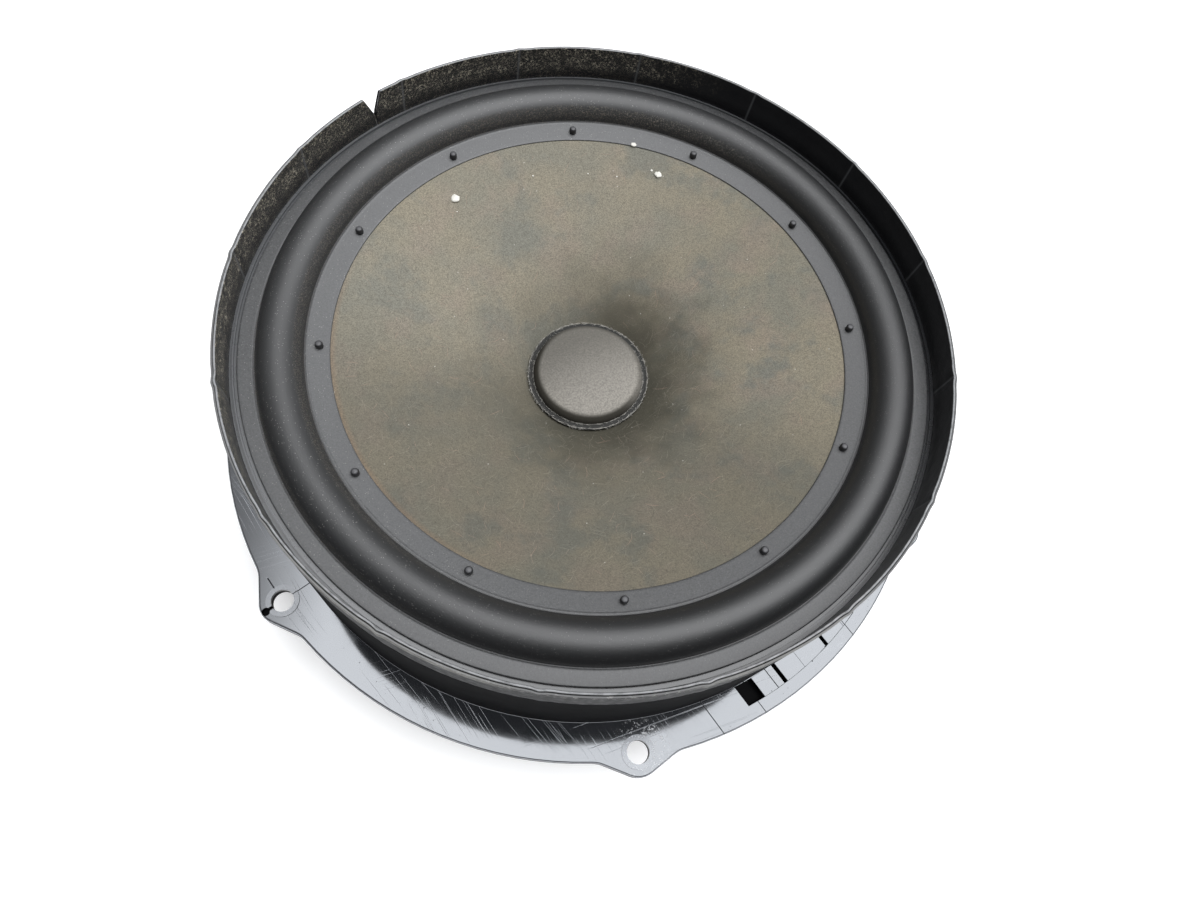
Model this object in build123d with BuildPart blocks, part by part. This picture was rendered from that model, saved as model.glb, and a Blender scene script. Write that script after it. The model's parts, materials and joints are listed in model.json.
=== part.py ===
from build123d import *
import os
from math import acos, atan2, cos, degrees, exp, hypot, radians, sin

# Door woofer with a single paper cone in a moulded plastic basket.
# Origin: on the cone's axis, in the plane of the mounting flange's rear face.
# +Z points out of the speaker, to the listener. Millimetres.

# ---- driving dimensions -------------------------------------------------
flange_thickness = 3.0
flange_radius = 113.3
mount_hole_count = 6
mount_hole_angle = -21.5
mount_hole_circle = 111.4
mount_hole_radius = 3.25
lobe_tip_radius = 6.8
lobe_root_angle = 6.0
lobe_root_fillet = 8.0

collar_foot_radius = 102.4
collar_top_radius = 101.9
collar_wall = 2.4
shoulder_z = 43.0
rim_radius = 100.45
landing_z = 44.5
landing_inner_radius = 93.6
bead_inner_radius, bead_outer_radius = 99.1, 99.5
bead_height = 0.8

lip_inner_radius = 100.5
lip_outer_radius = 101.15
band_gap_radius = 101.45
band_outer_radius = 101.9
lip_top_z = 56.0
band_top_z = 55.6
band_gap_z = 51.0
crease_count = 16
crease_angle = 14.7
crease_half_angle = 0.9
lip_crease_depth = 0.9
crease_bulge = 0.6
band_crease_bulge = 0.5

cone_edge_radius = 74.0
cone_edge_z = 43.1
surround_top_z = 45.7
surround_edge_radius = 98.2
roll_inner_radius = 80.9
roll_outer_radius = 93.4
roll_crest_z = 51.5
pin_count = 12
pin_angle = 5.6
pin_circle = 76.9

cap_radius = 18.8
cap_rim_z = 21.3
coil_inner_radius = 15.9
former_wall = 0.3

motor_top_z = -4.0
top_plate_thickness = 5.0
magnet_thickness = 15.0
back_plate_thickness = 5.0
top_plate_radius = 43.0
magnet_radius = 45.0
pole_radius = 15.5

connector_angle = -53.5
leg_count = 6
terminal_offset = 7.0
glue_gap = 0.02

os.makedirs("parts", exist_ok=True)


def spot(radius, angle, height=0.0):
    """A point given by its distance from the axis, its angle and its height."""
    return (radius * cos(radians(angle)), radius * sin(radians(angle)), height)


def side_plane(angle):
    """A plane that holds the axis: its x runs outwards at this angle and its y runs up."""
    return Plane(origin=(0, 0, 0), x_dir=spot(1, angle), z_dir=spot(1, angle - 90))


def finish(piece, name):
    piece.part.label = name
    export_step(piece.part, f"parts/{name}.step")


# ---- basket: flange, collar, rim, legs and hub in one moulding ------------
flange_inner_radius = 98.0
flange_edge_fillet = 0.7
bay_outer_radius = 109.2
bay_inner_radius = collar_foot_radius + 0.2
bay_low, bay_high = -18.2, 27.0
hub_radius = 58.5
ledge_z = 8.0
ledge_inner_radius = 50.5
seat_top_z = motor_top_z + 2.5
seat_hole_radius = 24.0
locating_radius = top_plate_radius + 0.3
leg_hub_half_width = 4.5
leg_rim_half_width = 9.0
leg_skin = 2.5
leg_top_z = 30.0
leg_inner_radius = hub_radius - 4.5
rib_half_thickness = 1.5
rib_inner_radius = top_plate_radius + 3.0
rib_foot_radius = flange_inner_radius - 12.0
rib_foot_z = 4.0
rib_wall_z = 12.0
hole_boss_width = 1.5
hole_boss_height = 0.3
index_turn = -120
index_distance = 5.4
index_radius = 1.2
index_slot_width = 1.0
index_depth = 1.5
landing_wall = 2.2
landing_brace = 6.0
hub_lip_depth = 3.5
hub_lip_wall = 2.3
ledge_wall = 3.0
screw_count = 4
screw_circle = 36.0
screw_shank_radius = 1.75
screw_head_radius = 3.5
screw_head_height = 2.4
screw_cross_length, screw_cross_width, screw_cross_depth = 3.6, 0.8, 1.0


def lobe_outline():
    """Half-round ear about one hole on the x axis, with straight flanks down to the flange's circle."""
    root = spot(flange_radius, lobe_root_angle)
    across, along = root[1], root[0] - mount_hole_circle
    turn = atan2(across, along) - acos(lobe_tip_radius / hypot(across, along))
    tangent = (mount_hole_circle + lobe_tip_radius * cos(turn), lobe_tip_radius * sin(turn))
    tip = (mount_hole_circle + lobe_tip_radius, 0)
    inner = (flange_radius - 8, 0)
    return root, tangent, tip, inner


def is_lobe_root(vertex):
    """True for the corners where a lobe's flanks meet the flange's circle."""
    angle = degrees(atan2(vertex.Y, vertex.X)) - mount_hole_angle
    pitch = 360 / mount_hole_count
    offset = abs((angle + pitch / 2) % pitch - pitch / 2)
    return abs(offset - lobe_root_angle) < 0.3 and hypot(vertex.X, vertex.Y) < flange_radius + 0.3


with BuildSketch() as lobe:
    with BuildLine():
        root, tangent, tip, inner = lobe_outline()
        Line(inner, root[:2])
        Line(root[:2], tangent)
        ThreePointArc(tangent, tip, (tangent[0], -tangent[1]))
        Line((tangent[0], -tangent[1]), (root[0], -root[1]))
        Line((root[0], -root[1]), inner)
    make_face()

with BuildSketch() as flange_outline:
    Circle(flange_radius)
    with PolarLocations(0, mount_hole_count, start_angle=mount_hole_angle):
        add(lobe.sketch)
    fillet(flange_outline.vertices().filter_by(is_lobe_root), lobe_root_fillet)
    Circle(flange_inner_radius, mode=Mode.SUBTRACT)

# The bay is the part of a ring between two parallel walls, beside the collar's foot.
with BuildSketch() as bay_outline:
    Circle(bay_outer_radius)
    Circle(bay_inner_radius, mode=Mode.SUBTRACT)
    with Locations(Location((0, 0, 0), (0, 0, connector_angle))):
        Polygon(
            (bay_inner_radius / 2, bay_low),
            (bay_outer_radius * 1.1, bay_low),
            (bay_outer_radius * 1.1, bay_high),
            (bay_inner_radius / 2, bay_high),
            align=None,
            mode=Mode.INTERSECT,
        )

with BuildPart() as legs:
    with BuildSketch(Plane.XZ):
        with BuildLine():
            Polyline(
                (leg_inner_radius, ledge_z - 1.0),
                (collar_top_radius - 2.0, leg_top_z),
                (collar_top_radius - 1.8, leg_top_z - leg_skin),
                (leg_inner_radius, ledge_z - 1.0 - leg_skin),
                close=True,
            )
        make_face()
    revolve(axis=Axis.Z)
    with BuildSketch():
        with PolarLocations(0, leg_count, start_angle=connector_angle):
            Polygon(
                (leg_inner_radius - 1.5, -leg_hub_half_width),
                (collar_top_radius, -leg_rim_half_width),
                (collar_top_radius, leg_rim_half_width),
                (leg_inner_radius - 1.5, leg_hub_half_width),
                align=None,
            )
    extrude(amount=shoulder_z, mode=Mode.INTERSECT)

with BuildPart() as rib:
    with BuildSketch(Plane.XZ):
        with BuildLine():
            Polyline(
                (ledge_inner_radius, ledge_z - ledge_wall),
                (collar_top_radius - 1.5, leg_top_z - 2.0),
                (collar_top_radius - 1.0, rib_wall_z),
                (rib_foot_radius, rib_foot_z),
                (rib_inner_radius, motor_top_z + 0.5),
                close=True,
            )
        make_face()
    extrude(amount=rib_half_thickness, both=True)

tray_top_z = 5.0
tray_wall = 1.5
tray_length = 8.0
tray_half_width = terminal_offset + 2.0

with BuildPart() as basket:
    with BuildSketch():
        add(flange_outline.sketch)
    extrude(amount=flange_thickness)
    flange_top = basket.faces().sort_by(Axis.Z)[-1]
    fillet(flange_top.outer_wire().edges(), flange_edge_fillet)
    with BuildSketch(Plane.XY.offset(flange_thickness)):
        with PolarLocations(mount_hole_circle, mount_hole_count, start_angle=mount_hole_angle):
            Circle(mount_hole_radius + hole_boss_width)
    extrude(amount=hole_boss_height)
    # The collar tapers from its foot on the flange to the shoulder under the rim.
    # A thin bead on its landing keeps the surround's edge centred.
    with BuildSketch(Plane.XZ):
        with BuildLine():
            Polyline(
                (collar_foot_radius - collar_wall, 0),
                (collar_foot_radius, flange_thickness),
                (collar_top_radius, shoulder_z),
                (rim_radius, shoulder_z),
                (rim_radius, landing_z),
                (bead_outer_radius, landing_z),
                (bead_outer_radius, landing_z + bead_height),
                (bead_inner_radius, landing_z + bead_height),
                (bead_inner_radius, landing_z),
                (landing_inner_radius, landing_z),
                (landing_inner_radius, landing_z - landing_wall),
                (collar_top_radius - collar_wall, landing_z - landing_brace),
                close=True,
            )
        make_face()
    revolve(axis=Axis.Z)
    # The hub holds the spider's ledge, and sits on the motor's top plate.
    with BuildSketch(Plane.XZ):
        with BuildLine():
            Polyline(
                (seat_hole_radius, motor_top_z + glue_gap),
                (locating_radius, motor_top_z + glue_gap),
                (locating_radius, motor_top_z - hub_lip_depth),
                (locating_radius + hub_lip_wall, motor_top_z - hub_lip_depth),
                (locating_radius + hub_lip_wall, seat_top_z - 0.5),
                (hub_radius - 3.5, ledge_z - ledge_wall),
                (hub_radius, ledge_z - ledge_wall),
                (hub_radius, ledge_z),
                (ledge_inner_radius, ledge_z),
                (ledge_inner_radius, ledge_z - ledge_wall),
                (locating_radius + 0.7, seat_top_z),
                (seat_hole_radius, seat_top_z),
                close=True,
            )
        make_face()
    revolve(axis=Axis.Z)
    add(legs.part)
    with PolarLocations(0, leg_count, start_angle=connector_angle):
        add(rib.part)
    # A small tray on the hub carries the inner ends of both contact strips.
    with BuildSketch(Plane.XY.offset(tray_top_z - tray_wall)):
        with Locations(Location((0, 0, 0), (0, 0, connector_angle))):
            Polygon(
                (hub_radius - 2.5, -tray_half_width),
                (hub_radius + tray_length, -tray_half_width),
                (hub_radius + tray_length, tray_half_width),
                (hub_radius - 2.5, tray_half_width),
                align=None,
            )
    extrude(amount=tray_wall)
    with BuildSketch():
        with PolarLocations(mount_hole_circle, mount_hole_count, start_angle=mount_hole_angle):
            Circle(mount_hole_radius)
    extrude(amount=flange_thickness + hole_boss_height, mode=Mode.SUBTRACT)
    with BuildSketch(Plane.XY.offset(motor_top_z)):
        with PolarLocations(screw_circle, screw_count):
            Circle(screw_shank_radius + 0.25)
    extrude(amount=seat_top_z - motor_top_z, mode=Mode.SUBTRACT)
    with BuildSketch():
        add(bay_outline.sketch)
    extrude(amount=flange_thickness, mode=Mode.SUBTRACT)
    # One lobe carries a blind index pocket that opens into its hole.
    with BuildSketch(Plane.XY.offset(flange_thickness - index_depth)):
        index_angle = mount_hole_angle + index_turn
        index_spot = spot(mount_hole_circle + index_distance, index_angle)
        with Locations(Location(index_spot, (0, 0, index_angle))):
            Circle(index_radius)
            Rectangle(index_distance, index_slot_width, align=(Align.MAX, Align.CENTER))
    extrude(amount=index_depth + hole_boss_height, mode=Mode.SUBTRACT)
finish(basket, "basket")


# ---- seal strips round the rim --------------------------------------------
def creased_ring(radius, bulge):
    """A closed circle whose line kinks outwards at each crease."""
    pitch = 360 / crease_count
    for index in range(crease_count):
        peak = crease_angle + index * pitch
        before, after = peak - crease_half_angle, peak + crease_half_angle
        last = peak + pitch - crease_half_angle
        Polyline(spot(radius, before)[:2], spot(radius + bulge, peak)[:2], spot(radius, after)[:2])
        ThreePointArc(
            spot(radius, after)[:2],
            spot(radius, (after + last) / 2)[:2],
            spot(radius, last)[:2],
        )


def notch_plane(angle, radius):
    """A plane that faces outwards at this angle: x runs anticlockwise round the rim and y runs up."""
    return Plane(origin=spot(radius, angle), x_dir=spot(1, angle + 90), z_dir=spot(1, angle))


notch_angle = 133.4
notch_floor_z = 48.4
notch_half_width = 3.15
notch_plane_radius = lip_inner_radius - 3
notch_reach = 8.0
notch_overshoot = 2.0
seam_width = 0.3


def cut_notch():
    """The V-shaped gap where the strip's two ends meet."""
    depth = lip_top_z - notch_floor_z
    reach = notch_half_width * (depth + notch_overshoot) / depth
    with BuildSketch(notch_plane(notch_angle, notch_plane_radius)) as gap:
        Polygon(
            (0, notch_floor_z),
            (reach, lip_top_z + notch_overshoot),
            (-reach, lip_top_z + notch_overshoot),
            align=None,
        )
    extrude(gap.sketch, amount=notch_reach, mode=Mode.SUBTRACT)


def cut_seam():
    """The hairline slit under the gap, so that the strip is open-ended and not a closed ring."""
    with BuildSketch(notch_plane(notch_angle, notch_plane_radius)) as slit:
        with Locations((0, shoulder_z)):
            Rectangle(seam_width, notch_floor_z + 1 - shoulder_z, align=(Align.CENTER, Align.MIN))
    extrude(slit.sketch, amount=notch_reach, mode=Mode.SUBTRACT)


def creased_wall(outer, outer_bulge, inner, inner_bulge, low_z, high_z):
    """A thin upright wall between two creased circles."""
    with BuildSketch(Plane.XY.offset(low_z)) as wall:
        with BuildLine():
            creased_ring(outer, outer_bulge)
        make_face()
        with BuildLine():
            creased_ring(inner, inner_bulge)
        make_face(mode=Mode.SUBTRACT)
    extrude(wall.sketch, amount=high_z - low_z)


strip_foot_z = shoulder_z + glue_gap

with BuildPart() as seal_lip:
    creased_wall(
        lip_outer_radius,
        crease_bulge,
        lip_inner_radius,
        lip_crease_depth,
        strip_foot_z,
        lip_top_z,
    )
    cut_notch()
    cut_seam()
finish(seal_lip, "seal_lip")

# The band lies against the lip at its foot, and stands clear of it higher up.
with BuildPart() as rim_band:
    creased_wall(
        band_outer_radius,
        band_crease_bulge,
        lip_outer_radius + glue_gap,
        crease_bulge,
        strip_foot_z,
        band_gap_z,
    )
    creased_wall(
        band_outer_radius,
        band_crease_bulge,
        band_gap_radius,
        crease_bulge,
        band_gap_z,
        band_top_z,
    )
    cut_notch()
    cut_seam()
finish(rim_band, "rim_band")

# ---- surround: inner flange with moulding stubs, half roll, outer flange ---
flange_slope = 0.205
roll_wall = 0.9
inner_flange_radius = cone_edge_radius + 0.15
inner_flange_top_z = cone_edge_z + 0.35
inner_flange_wall = 0.5
pin_radius = 1.1
pin_top_z = 45.4


def glue_line(radius):
    """Height of the face where the surround's inner flange lies on the cone's edge."""
    return cone_edge_z + flange_slope * (radius - cone_edge_radius)


roll_middle = (roll_inner_radius + roll_outer_radius) / 2

roll_foot_z = glue_line(roll_inner_radius) + inner_flange_wall
pin_foot_z = glue_line(pin_circle) + 0.3

with BuildPart() as surround:
    with BuildSketch(Plane.XZ):
        with BuildLine():
            Polyline(
                (inner_flange_radius, glue_line(inner_flange_radius)),
                (inner_flange_radius, inner_flange_top_z),
                (roll_inner_radius, roll_foot_z),
            )
            ThreePointArc(
                (roll_inner_radius, roll_foot_z),
                (roll_middle, roll_crest_z),
                (roll_outer_radius, surround_top_z),
            )
            Polyline(
                (roll_outer_radius, surround_top_z),
                (surround_edge_radius, surround_top_z),
                (surround_edge_radius, landing_z),
                (roll_outer_radius - roll_wall, landing_z),
            )
            ThreePointArc(
                (roll_outer_radius - roll_wall, landing_z),
                (roll_middle, roll_crest_z - roll_wall),
                (roll_inner_radius + roll_wall, glue_line(roll_inner_radius)),
            )
            Polyline(
                (roll_inner_radius + roll_wall, glue_line(roll_inner_radius)),
                (roll_inner_radius, glue_line(roll_inner_radius)),
                (inner_flange_radius, glue_line(inner_flange_radius)),
            )
        make_face()
    revolve(axis=Axis.Z)
    with BuildSketch(Plane.XY.offset(pin_foot_z)):
        with PolarLocations(pin_circle, pin_count, start_angle=pin_angle):
            Circle(pin_radius)
    extrude(amount=pin_top_z - pin_foot_z)
finish(surround, "surround")

# ---- cone ------------------------------------------------------------------
cone_wall = 0.9
former_outer_radius = coil_inner_radius + former_wall
wrap_wall = 0.25
wrap_outer_radius = former_outer_radius + wrap_wall
neck_radius = wrap_outer_radius + glue_gap
neck_bottom_z = 14.6
neck_top_z = 19.2
neck_bend_z = 17.8
neck_wall = 0.9
cone_back_shift = 0.45
cone_outer_radius = roll_inner_radius - 0.5
cone_inner = (cap_radius + 0.1, 20.2)
cone_edge_slope = 0.25
cone_flare_length = 14.0


def cone_height(radius):
    """Front face of the cone: shallow at its edge, and flaring steeply down to the neck."""
    span = cone_edge_radius - cone_inner[0]
    drop = cone_edge_z - glue_gap - cone_inner[1]
    flare = (drop - cone_edge_slope * span) / (1 - exp(-span / cone_flare_length))
    from_neck = radius - cone_inner[0]
    return cone_inner[1] + cone_edge_slope * from_neck + flare * (1 - exp(-from_neck / cone_flare_length))


cone_radii = [cone_inner[0], 24.0, 32.0, 44.0, 60.0, cone_edge_radius]
cone_front = [(radius, cone_height(radius)) for radius in cone_radii]
cone_back = [(radius + cone_back_shift, height - cone_wall) for radius, height in cone_front[:-1]]

with BuildPart() as cone:
    with BuildSketch(Plane.XZ):
        with BuildLine():
            rim_top = (cone_outer_radius, glue_line(cone_outer_radius) - glue_gap)
            rim_under = (cone_outer_radius, rim_top[1] - cone_wall)
            edge_under = (cone_edge_radius + 0.15, cone_front[-1][1] - cone_wall)
            Spline(*cone_front)
            Polyline(cone_front[-1], rim_top, rim_under, edge_under)
            Spline(edge_under, *reversed(cone_back))
            Polyline(
                cone_back[0],
                (neck_radius + neck_wall + 0.2, neck_bend_z),
                (neck_radius + neck_wall, neck_bottom_z),
                (neck_radius, neck_bottom_z),
                (neck_radius, neck_top_z),
                cone_inner,
            )
        make_face()
    revolve(axis=Axis.Z)
finish(cone, "cone")

# ---- dust cap ---------------------------------------------------------------
cap_wall = 0.8
cap_dome_radius = 17.2
cap_side = (16.7, 23.0)
cap_shoulder = (15.5, 24.1)
cap_top_z = 26.1


def crown_height(radius, top_z, foot):
    """Height of a shallow dome that peaks on the axis and passes through its foot."""
    rise = top_z - foot[1]
    ball = (foot[0] ** 2 + rise**2) / (2 * rise)
    return top_z - ball + (ball**2 - radius**2) ** 0.5


cap_inner_shoulder = (cap_shoulder[0] - 0.6, cap_shoulder[1] - cap_wall)

with BuildPart() as dust_cap:
    with BuildSketch(Plane.XZ):
        with BuildLine():
            Polyline(
                (cap_dome_radius - 0.6, cap_rim_z - cap_wall),
                (cap_radius, cap_rim_z - cap_wall),
                (cap_radius, cap_rim_z),
                (cap_dome_radius, cap_rim_z),
            )
            ThreePointArc((cap_dome_radius, cap_rim_z), cap_side, cap_shoulder)
            halfway = cap_shoulder[0] / 2
            outer_middle = (halfway, crown_height(halfway, cap_top_z, cap_shoulder))
            inner_middle = (halfway, crown_height(halfway, cap_top_z - cap_wall, cap_inner_shoulder))
            ThreePointArc(cap_shoulder, outer_middle, (0, cap_top_z))
            Line((0, cap_top_z), (0, cap_top_z - cap_wall))
            ThreePointArc((0, cap_top_z - cap_wall), inner_middle, cap_inner_shoulder)
            Line(cap_inner_shoulder, (cap_dome_radius - 0.6, cap_rim_z - cap_wall))
        make_face()
    revolve(axis=Axis.Z)
finish(dust_cap, "dust_cap")

# ---- voice coil --------------------------------------------------------------
coil_height = 12.0
gap_middle_z = motor_top_z - top_plate_thickness / 2
coil_bottom_z = gap_middle_z - coil_height / 2
coil_top_z = coil_bottom_z + coil_height
winding_wall = 0.75
former_top_z = cone_inner[1]
former_foot = 0.4
wrap_foot_gap = 0.5
pad_z, pad_height, pad_width, pad_wall = 10.4, 3.4, 3.4, 0.4


def tube(inner_radius, outer_radius, low_z, high_z):
    """A plain tube on the axis."""
    with BuildSketch(Plane.XY.offset(low_z)) as ring:
        Circle(outer_radius)
        Circle(inner_radius, mode=Mode.SUBTRACT)
    extrude(ring.sketch, amount=high_z - low_z)


with BuildPart() as coil_former:
    tube(coil_inner_radius, former_outer_radius, coil_bottom_z - former_foot, former_top_z)
finish(coil_former, "coil_former")

with BuildPart() as coil_winding:
    tube(
        former_outer_radius + glue_gap,
        former_outer_radius + winding_wall,
        coil_bottom_z,
        coil_top_z,
    )
finish(coil_winding, "coil_winding")

with BuildPart() as former_wrap:
    tube(
        former_outer_radius + glue_gap,
        wrap_outer_radius,
        coil_top_z + wrap_foot_gap,
        neck_top_z - 0.2,
    )
finish(former_wrap, "former_wrap")


def solder_pad(angle):
    """A small curved tab on the wrap, where one flexible lead meets the winding's tail."""
    with BuildSketch(Plane.XY.offset(pad_z)) as tab:
        Circle(wrap_outer_radius + glue_gap + pad_wall)
        Circle(wrap_outer_radius + glue_gap, mode=Mode.SUBTRACT)
        with Locations(Location(spot(wrap_outer_radius, angle), (0, 0, angle))):
            Rectangle(pad_width * 2, pad_width, mode=Mode.INTERSECT)
    extrude(tab.sketch, amount=pad_height)


pad_turn = degrees(terminal_offset / (wrap_outer_radius + 1))

with BuildPart() as coil_pad_positive:
    solder_pad(connector_angle + pad_turn)
finish(coil_pad_positive, "coil_pad_positive")

with BuildPart() as coil_pad_negative:
    solder_pad(connector_angle - pad_turn)
finish(coil_pad_negative, "coil_pad_negative")

# ---- spider -------------------------------------------------------------------
spider_wall = 0.5
spider_inner_radius = wrap_outer_radius + glue_gap
spider_outer_radius = hub_radius - 4.2
spider_wave_start, spider_wave_end = 20.0, 48.0
spider_waves = 7
spider_wave_height = 1.2
spider_foot_z = ledge_z + glue_gap


def spider_height(radius):
    """Under side of the corrugated cloth: waves between two flat rings."""
    turn = 360 * spider_waves * (radius - spider_wave_start) / (spider_wave_end - spider_wave_start)
    return spider_foot_z + spider_wave_height * sin(radians(turn))


wave_steps = spider_waves * 8
wave_radii = [
    spider_wave_start + (spider_wave_end - spider_wave_start) * step / wave_steps
    for step in range(wave_steps + 1)
]

with BuildPart() as spider:
    with BuildSketch(Plane.XZ):
        with BuildLine():
            under = [(radius, spider_height(radius)) for radius in wave_radii]
            over = [(radius, spider_height(radius) + spider_wall) for radius in wave_radii]
            Spline(*under)
            Polyline(
                under[-1],
                (spider_outer_radius, spider_foot_z),
                (spider_outer_radius, spider_foot_z + spider_wall),
                over[-1],
            )
            Spline(*reversed(over))
            Polyline(
                over[0],
                (spider_inner_radius, spider_foot_z + spider_wall),
                (spider_inner_radius, spider_foot_z),
                under[0],
            )
        make_face()
    revolve(axis=Axis.Z)
finish(spider, "spider")

# ---- motor ----------------------------------------------------------------------
magnet_inner_radius = 24.0
coil_clearance = 0.6
edge_chamfer = 0.8
pole_chamfer = 0.6
yoke_chamfer = 1.5
magnet_top_z = motor_top_z - top_plate_thickness
magnet_bottom_z = magnet_top_z - magnet_thickness
yoke_bottom_z = magnet_bottom_z - back_plate_thickness

with BuildPart() as top_plate:
    gap_radius = former_outer_radius + winding_wall + coil_clearance
    tube(gap_radius, top_plate_radius, magnet_top_z, motor_top_z)
    with BuildSketch(Plane.XY.offset(magnet_top_z)):
        with PolarLocations(screw_circle, screw_count):
            Circle(screw_shank_radius + 0.05)
    extrude(amount=top_plate_thickness, mode=Mode.SUBTRACT)
finish(top_plate, "top_plate")

with BuildPart() as magnet:
    tube(magnet_inner_radius, magnet_radius, magnet_bottom_z + glue_gap, magnet_top_z - glue_gap)
    chamfer(magnet.edges().filter_by(GeomType.CIRCLE).sort_by(SortBy.RADIUS)[-2:], edge_chamfer)
finish(magnet, "magnet")

with BuildPart() as yoke:
    with BuildSketch(Plane.XZ):
        with BuildLine():
            Polyline(
                (0, yoke_bottom_z),
                (top_plate_radius - yoke_chamfer, yoke_bottom_z),
                (top_plate_radius, yoke_bottom_z + yoke_chamfer),
                (top_plate_radius, magnet_bottom_z),
                (pole_radius, magnet_bottom_z),
                (pole_radius, motor_top_z - pole_chamfer),
                (pole_radius - pole_chamfer, motor_top_z),
                (0, motor_top_z),
                close=True,
            )
        make_face()
    revolve(axis=Axis.Z)
    # A shallow centring dimple, left by turning, in the middle of the back plate.
    with Locations(Plane.XY.offset(yoke_bottom_z).location):
        Cone(4.0, 1.0, 2.0, align=(Align.CENTER, Align.CENTER, Align.MIN), mode=Mode.SUBTRACT)
finish(yoke, "yoke")

with BuildPart() as motor_screws:
    with BuildSketch(Plane.XY.offset(seat_top_z + glue_gap)):
        with PolarLocations(screw_circle, screw_count):
            Circle(screw_head_radius)
    extrude(amount=screw_head_height, taper=12)
    with BuildSketch(Plane.XY.offset(magnet_top_z + 0.3)):
        with PolarLocations(screw_circle, screw_count):
            Circle(screw_shank_radius)
    extrude(amount=seat_top_z - magnet_top_z)
    with BuildSketch(Plane.XY.offset(seat_top_z + screw_head_height - screw_cross_depth)):
        with PolarLocations(screw_circle, screw_count):
            Rectangle(screw_cross_length, screw_cross_width)
            Rectangle(screw_cross_width, screw_cross_length)
    extrude(amount=screw_cross_depth + 0.1, mode=Mode.SUBTRACT)
finish(motor_screws, "motor_screws")

# ---- connector: housing in the bay, contact strips, flexible leads ----------------
housing_low, housing_high = -12.2, 13.0
housing_inner, housing_outer = 90.0, bay_outer_radius - 0.1
housing_bottom_z = -16.0
housing_wall = 2.2
cavity_top_z = -3.0
strip_z = -4.6
strip_half_width = 1.5
strip_thickness = 0.8
blade_distance = 99.5
blade_bottom_z = -12.5
front_gap = 0.25
slot_gap = 0.05


def bay_slab(low, high, bottom, top, inner=None, outer=None, mode=Mode.ADD):
    """A block in the connector's own directions: low and high across, inner and outer along."""
    start = housing_inner if inner is None else inner
    end = housing_outer if outer is None else outer
    with BuildSketch(Plane.XY.offset(bottom)) as block:
        with Locations(Location((0, 0, 0), (0, 0, connector_angle))):
            Polygon((start, low), (end + 5, low), (end + 5, high), (start, high), align=None)
        Circle(end, mode=Mode.INTERSECT)
    extrude(block.sketch, amount=top - bottom, mode=mode)


def bay_fill(low, high, bottom, top):
    """A raised plate that fills part of the flange's bay from wall to wall."""
    with BuildSketch(Plane.XY.offset(bottom)) as plate:
        with Locations(Location((0, 0, 0), (0, 0, connector_angle))):
            near, far = bay_inner_radius / 2, bay_outer_radius * 1.1
            Polygon((near, low), (far, low), (far, high), (near, high), align=None)
        Circle(housing_outer, mode=Mode.INTERSECT)
        Circle(bay_inner_radius + 0.05, mode=Mode.SUBTRACT)
    extrude(plate.sketch, amount=top - bottom)


plate_z = flange_thickness - front_gap
plate_foot_z = -1.0
backing_lap = 0.6
backing_thickness = 1.8
backing_inner_radius = bay_inner_radius - 3.0
cover_foot_z = 0.4
front_plates = [
    (housing_low, -7.4, 0.0),
    (-7.0, -4.8, -0.4),
    (-3.6, 3.4, 0.0),
    (3.4, 5.5, 0.15),
    (5.5, 10.2, 0.0),
    (10.2, housing_high - 0.1, -0.3),
]
cover_plates = [(14.0, 21.6, 0.0), (21.6, 22.7, 0.15), (22.7, bay_high - 0.1, -0.2)]

with BuildPart() as connector_housing:
    bay_slab(housing_low, housing_high, housing_bottom_z, -glue_gap)
    # A flat backing plate behind the flange closes the whole bay.
    bay_slab(
        bay_low - backing_lap,
        bay_high + backing_lap,
        -backing_thickness,
        -glue_gap,
        backing_inner_radius,
        bay_outer_radius + backing_lap,
    )
    # Front plates, ribs and ridges that fill the bay, each with its own height above the plates.
    for low, high, step in front_plates:
        bay_fill(low, high, plate_foot_z, plate_z + step)
    bay_slab(
        housing_low + housing_wall,
        housing_high - housing_wall,
        housing_bottom_z,
        cavity_top_z,
        housing_inner + housing_wall,
        housing_outer - housing_wall,
        Mode.SUBTRACT,
    )
    for side in (-1, 1):
        middle = side * terminal_offset
        slot_half = strip_half_width + slot_gap
        bay_slab(
            middle - slot_half,
            middle + slot_half,
            strip_z - slot_gap,
            strip_z + strip_thickness + slot_gap,
            housing_inner - 1,
            housing_inner + housing_wall + 0.5,
            Mode.SUBTRACT,
        )
finish(connector_housing, "connector_housing")

# The far end of the bay is closed by its own blanking plate with two ribs.
with BuildPart() as bay_cover:
    for low, high, step in cover_plates:
        bay_fill(low, high, cover_foot_z, plate_z + step)
finish(bay_cover, "bay_cover")

tab_start = hub_radius + 0.6
tab_end = hub_radius + tray_length + 0.3
tab_z = tray_top_z + glue_gap
slope_end = housing_inner - 3.0


def contact_strip(side):
    """A stamped strip: solder tab on the hub's tray, sloping run, and a blade bent down in the socket."""
    near_face = -side * terminal_offset - strip_half_width
    with BuildSketch(side_plane(connector_angle).offset(near_face)) as profile:
        with BuildLine():
            Polyline(
                (tab_start, tab_z),
                (tab_end, tab_z),
                (slope_end, strip_z),
                (blade_distance - strip_thickness, strip_z),
                (blade_distance - strip_thickness, blade_bottom_z),
                (blade_distance, blade_bottom_z),
                (blade_distance, strip_z + strip_thickness),
                (slope_end + 0.2, strip_z + strip_thickness),
                (tab_end + 0.2, tab_z + strip_thickness),
                (tab_start, tab_z + strip_thickness),
                close=True,
            )
        make_face()
    extrude(profile.sketch, amount=2 * strip_half_width)


with BuildPart() as terminal_positive:
    contact_strip(1)
finish(terminal_positive, "terminal_positive")

with BuildPart() as terminal_negative:
    contact_strip(-1)
finish(terminal_negative, "terminal_negative")

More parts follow.
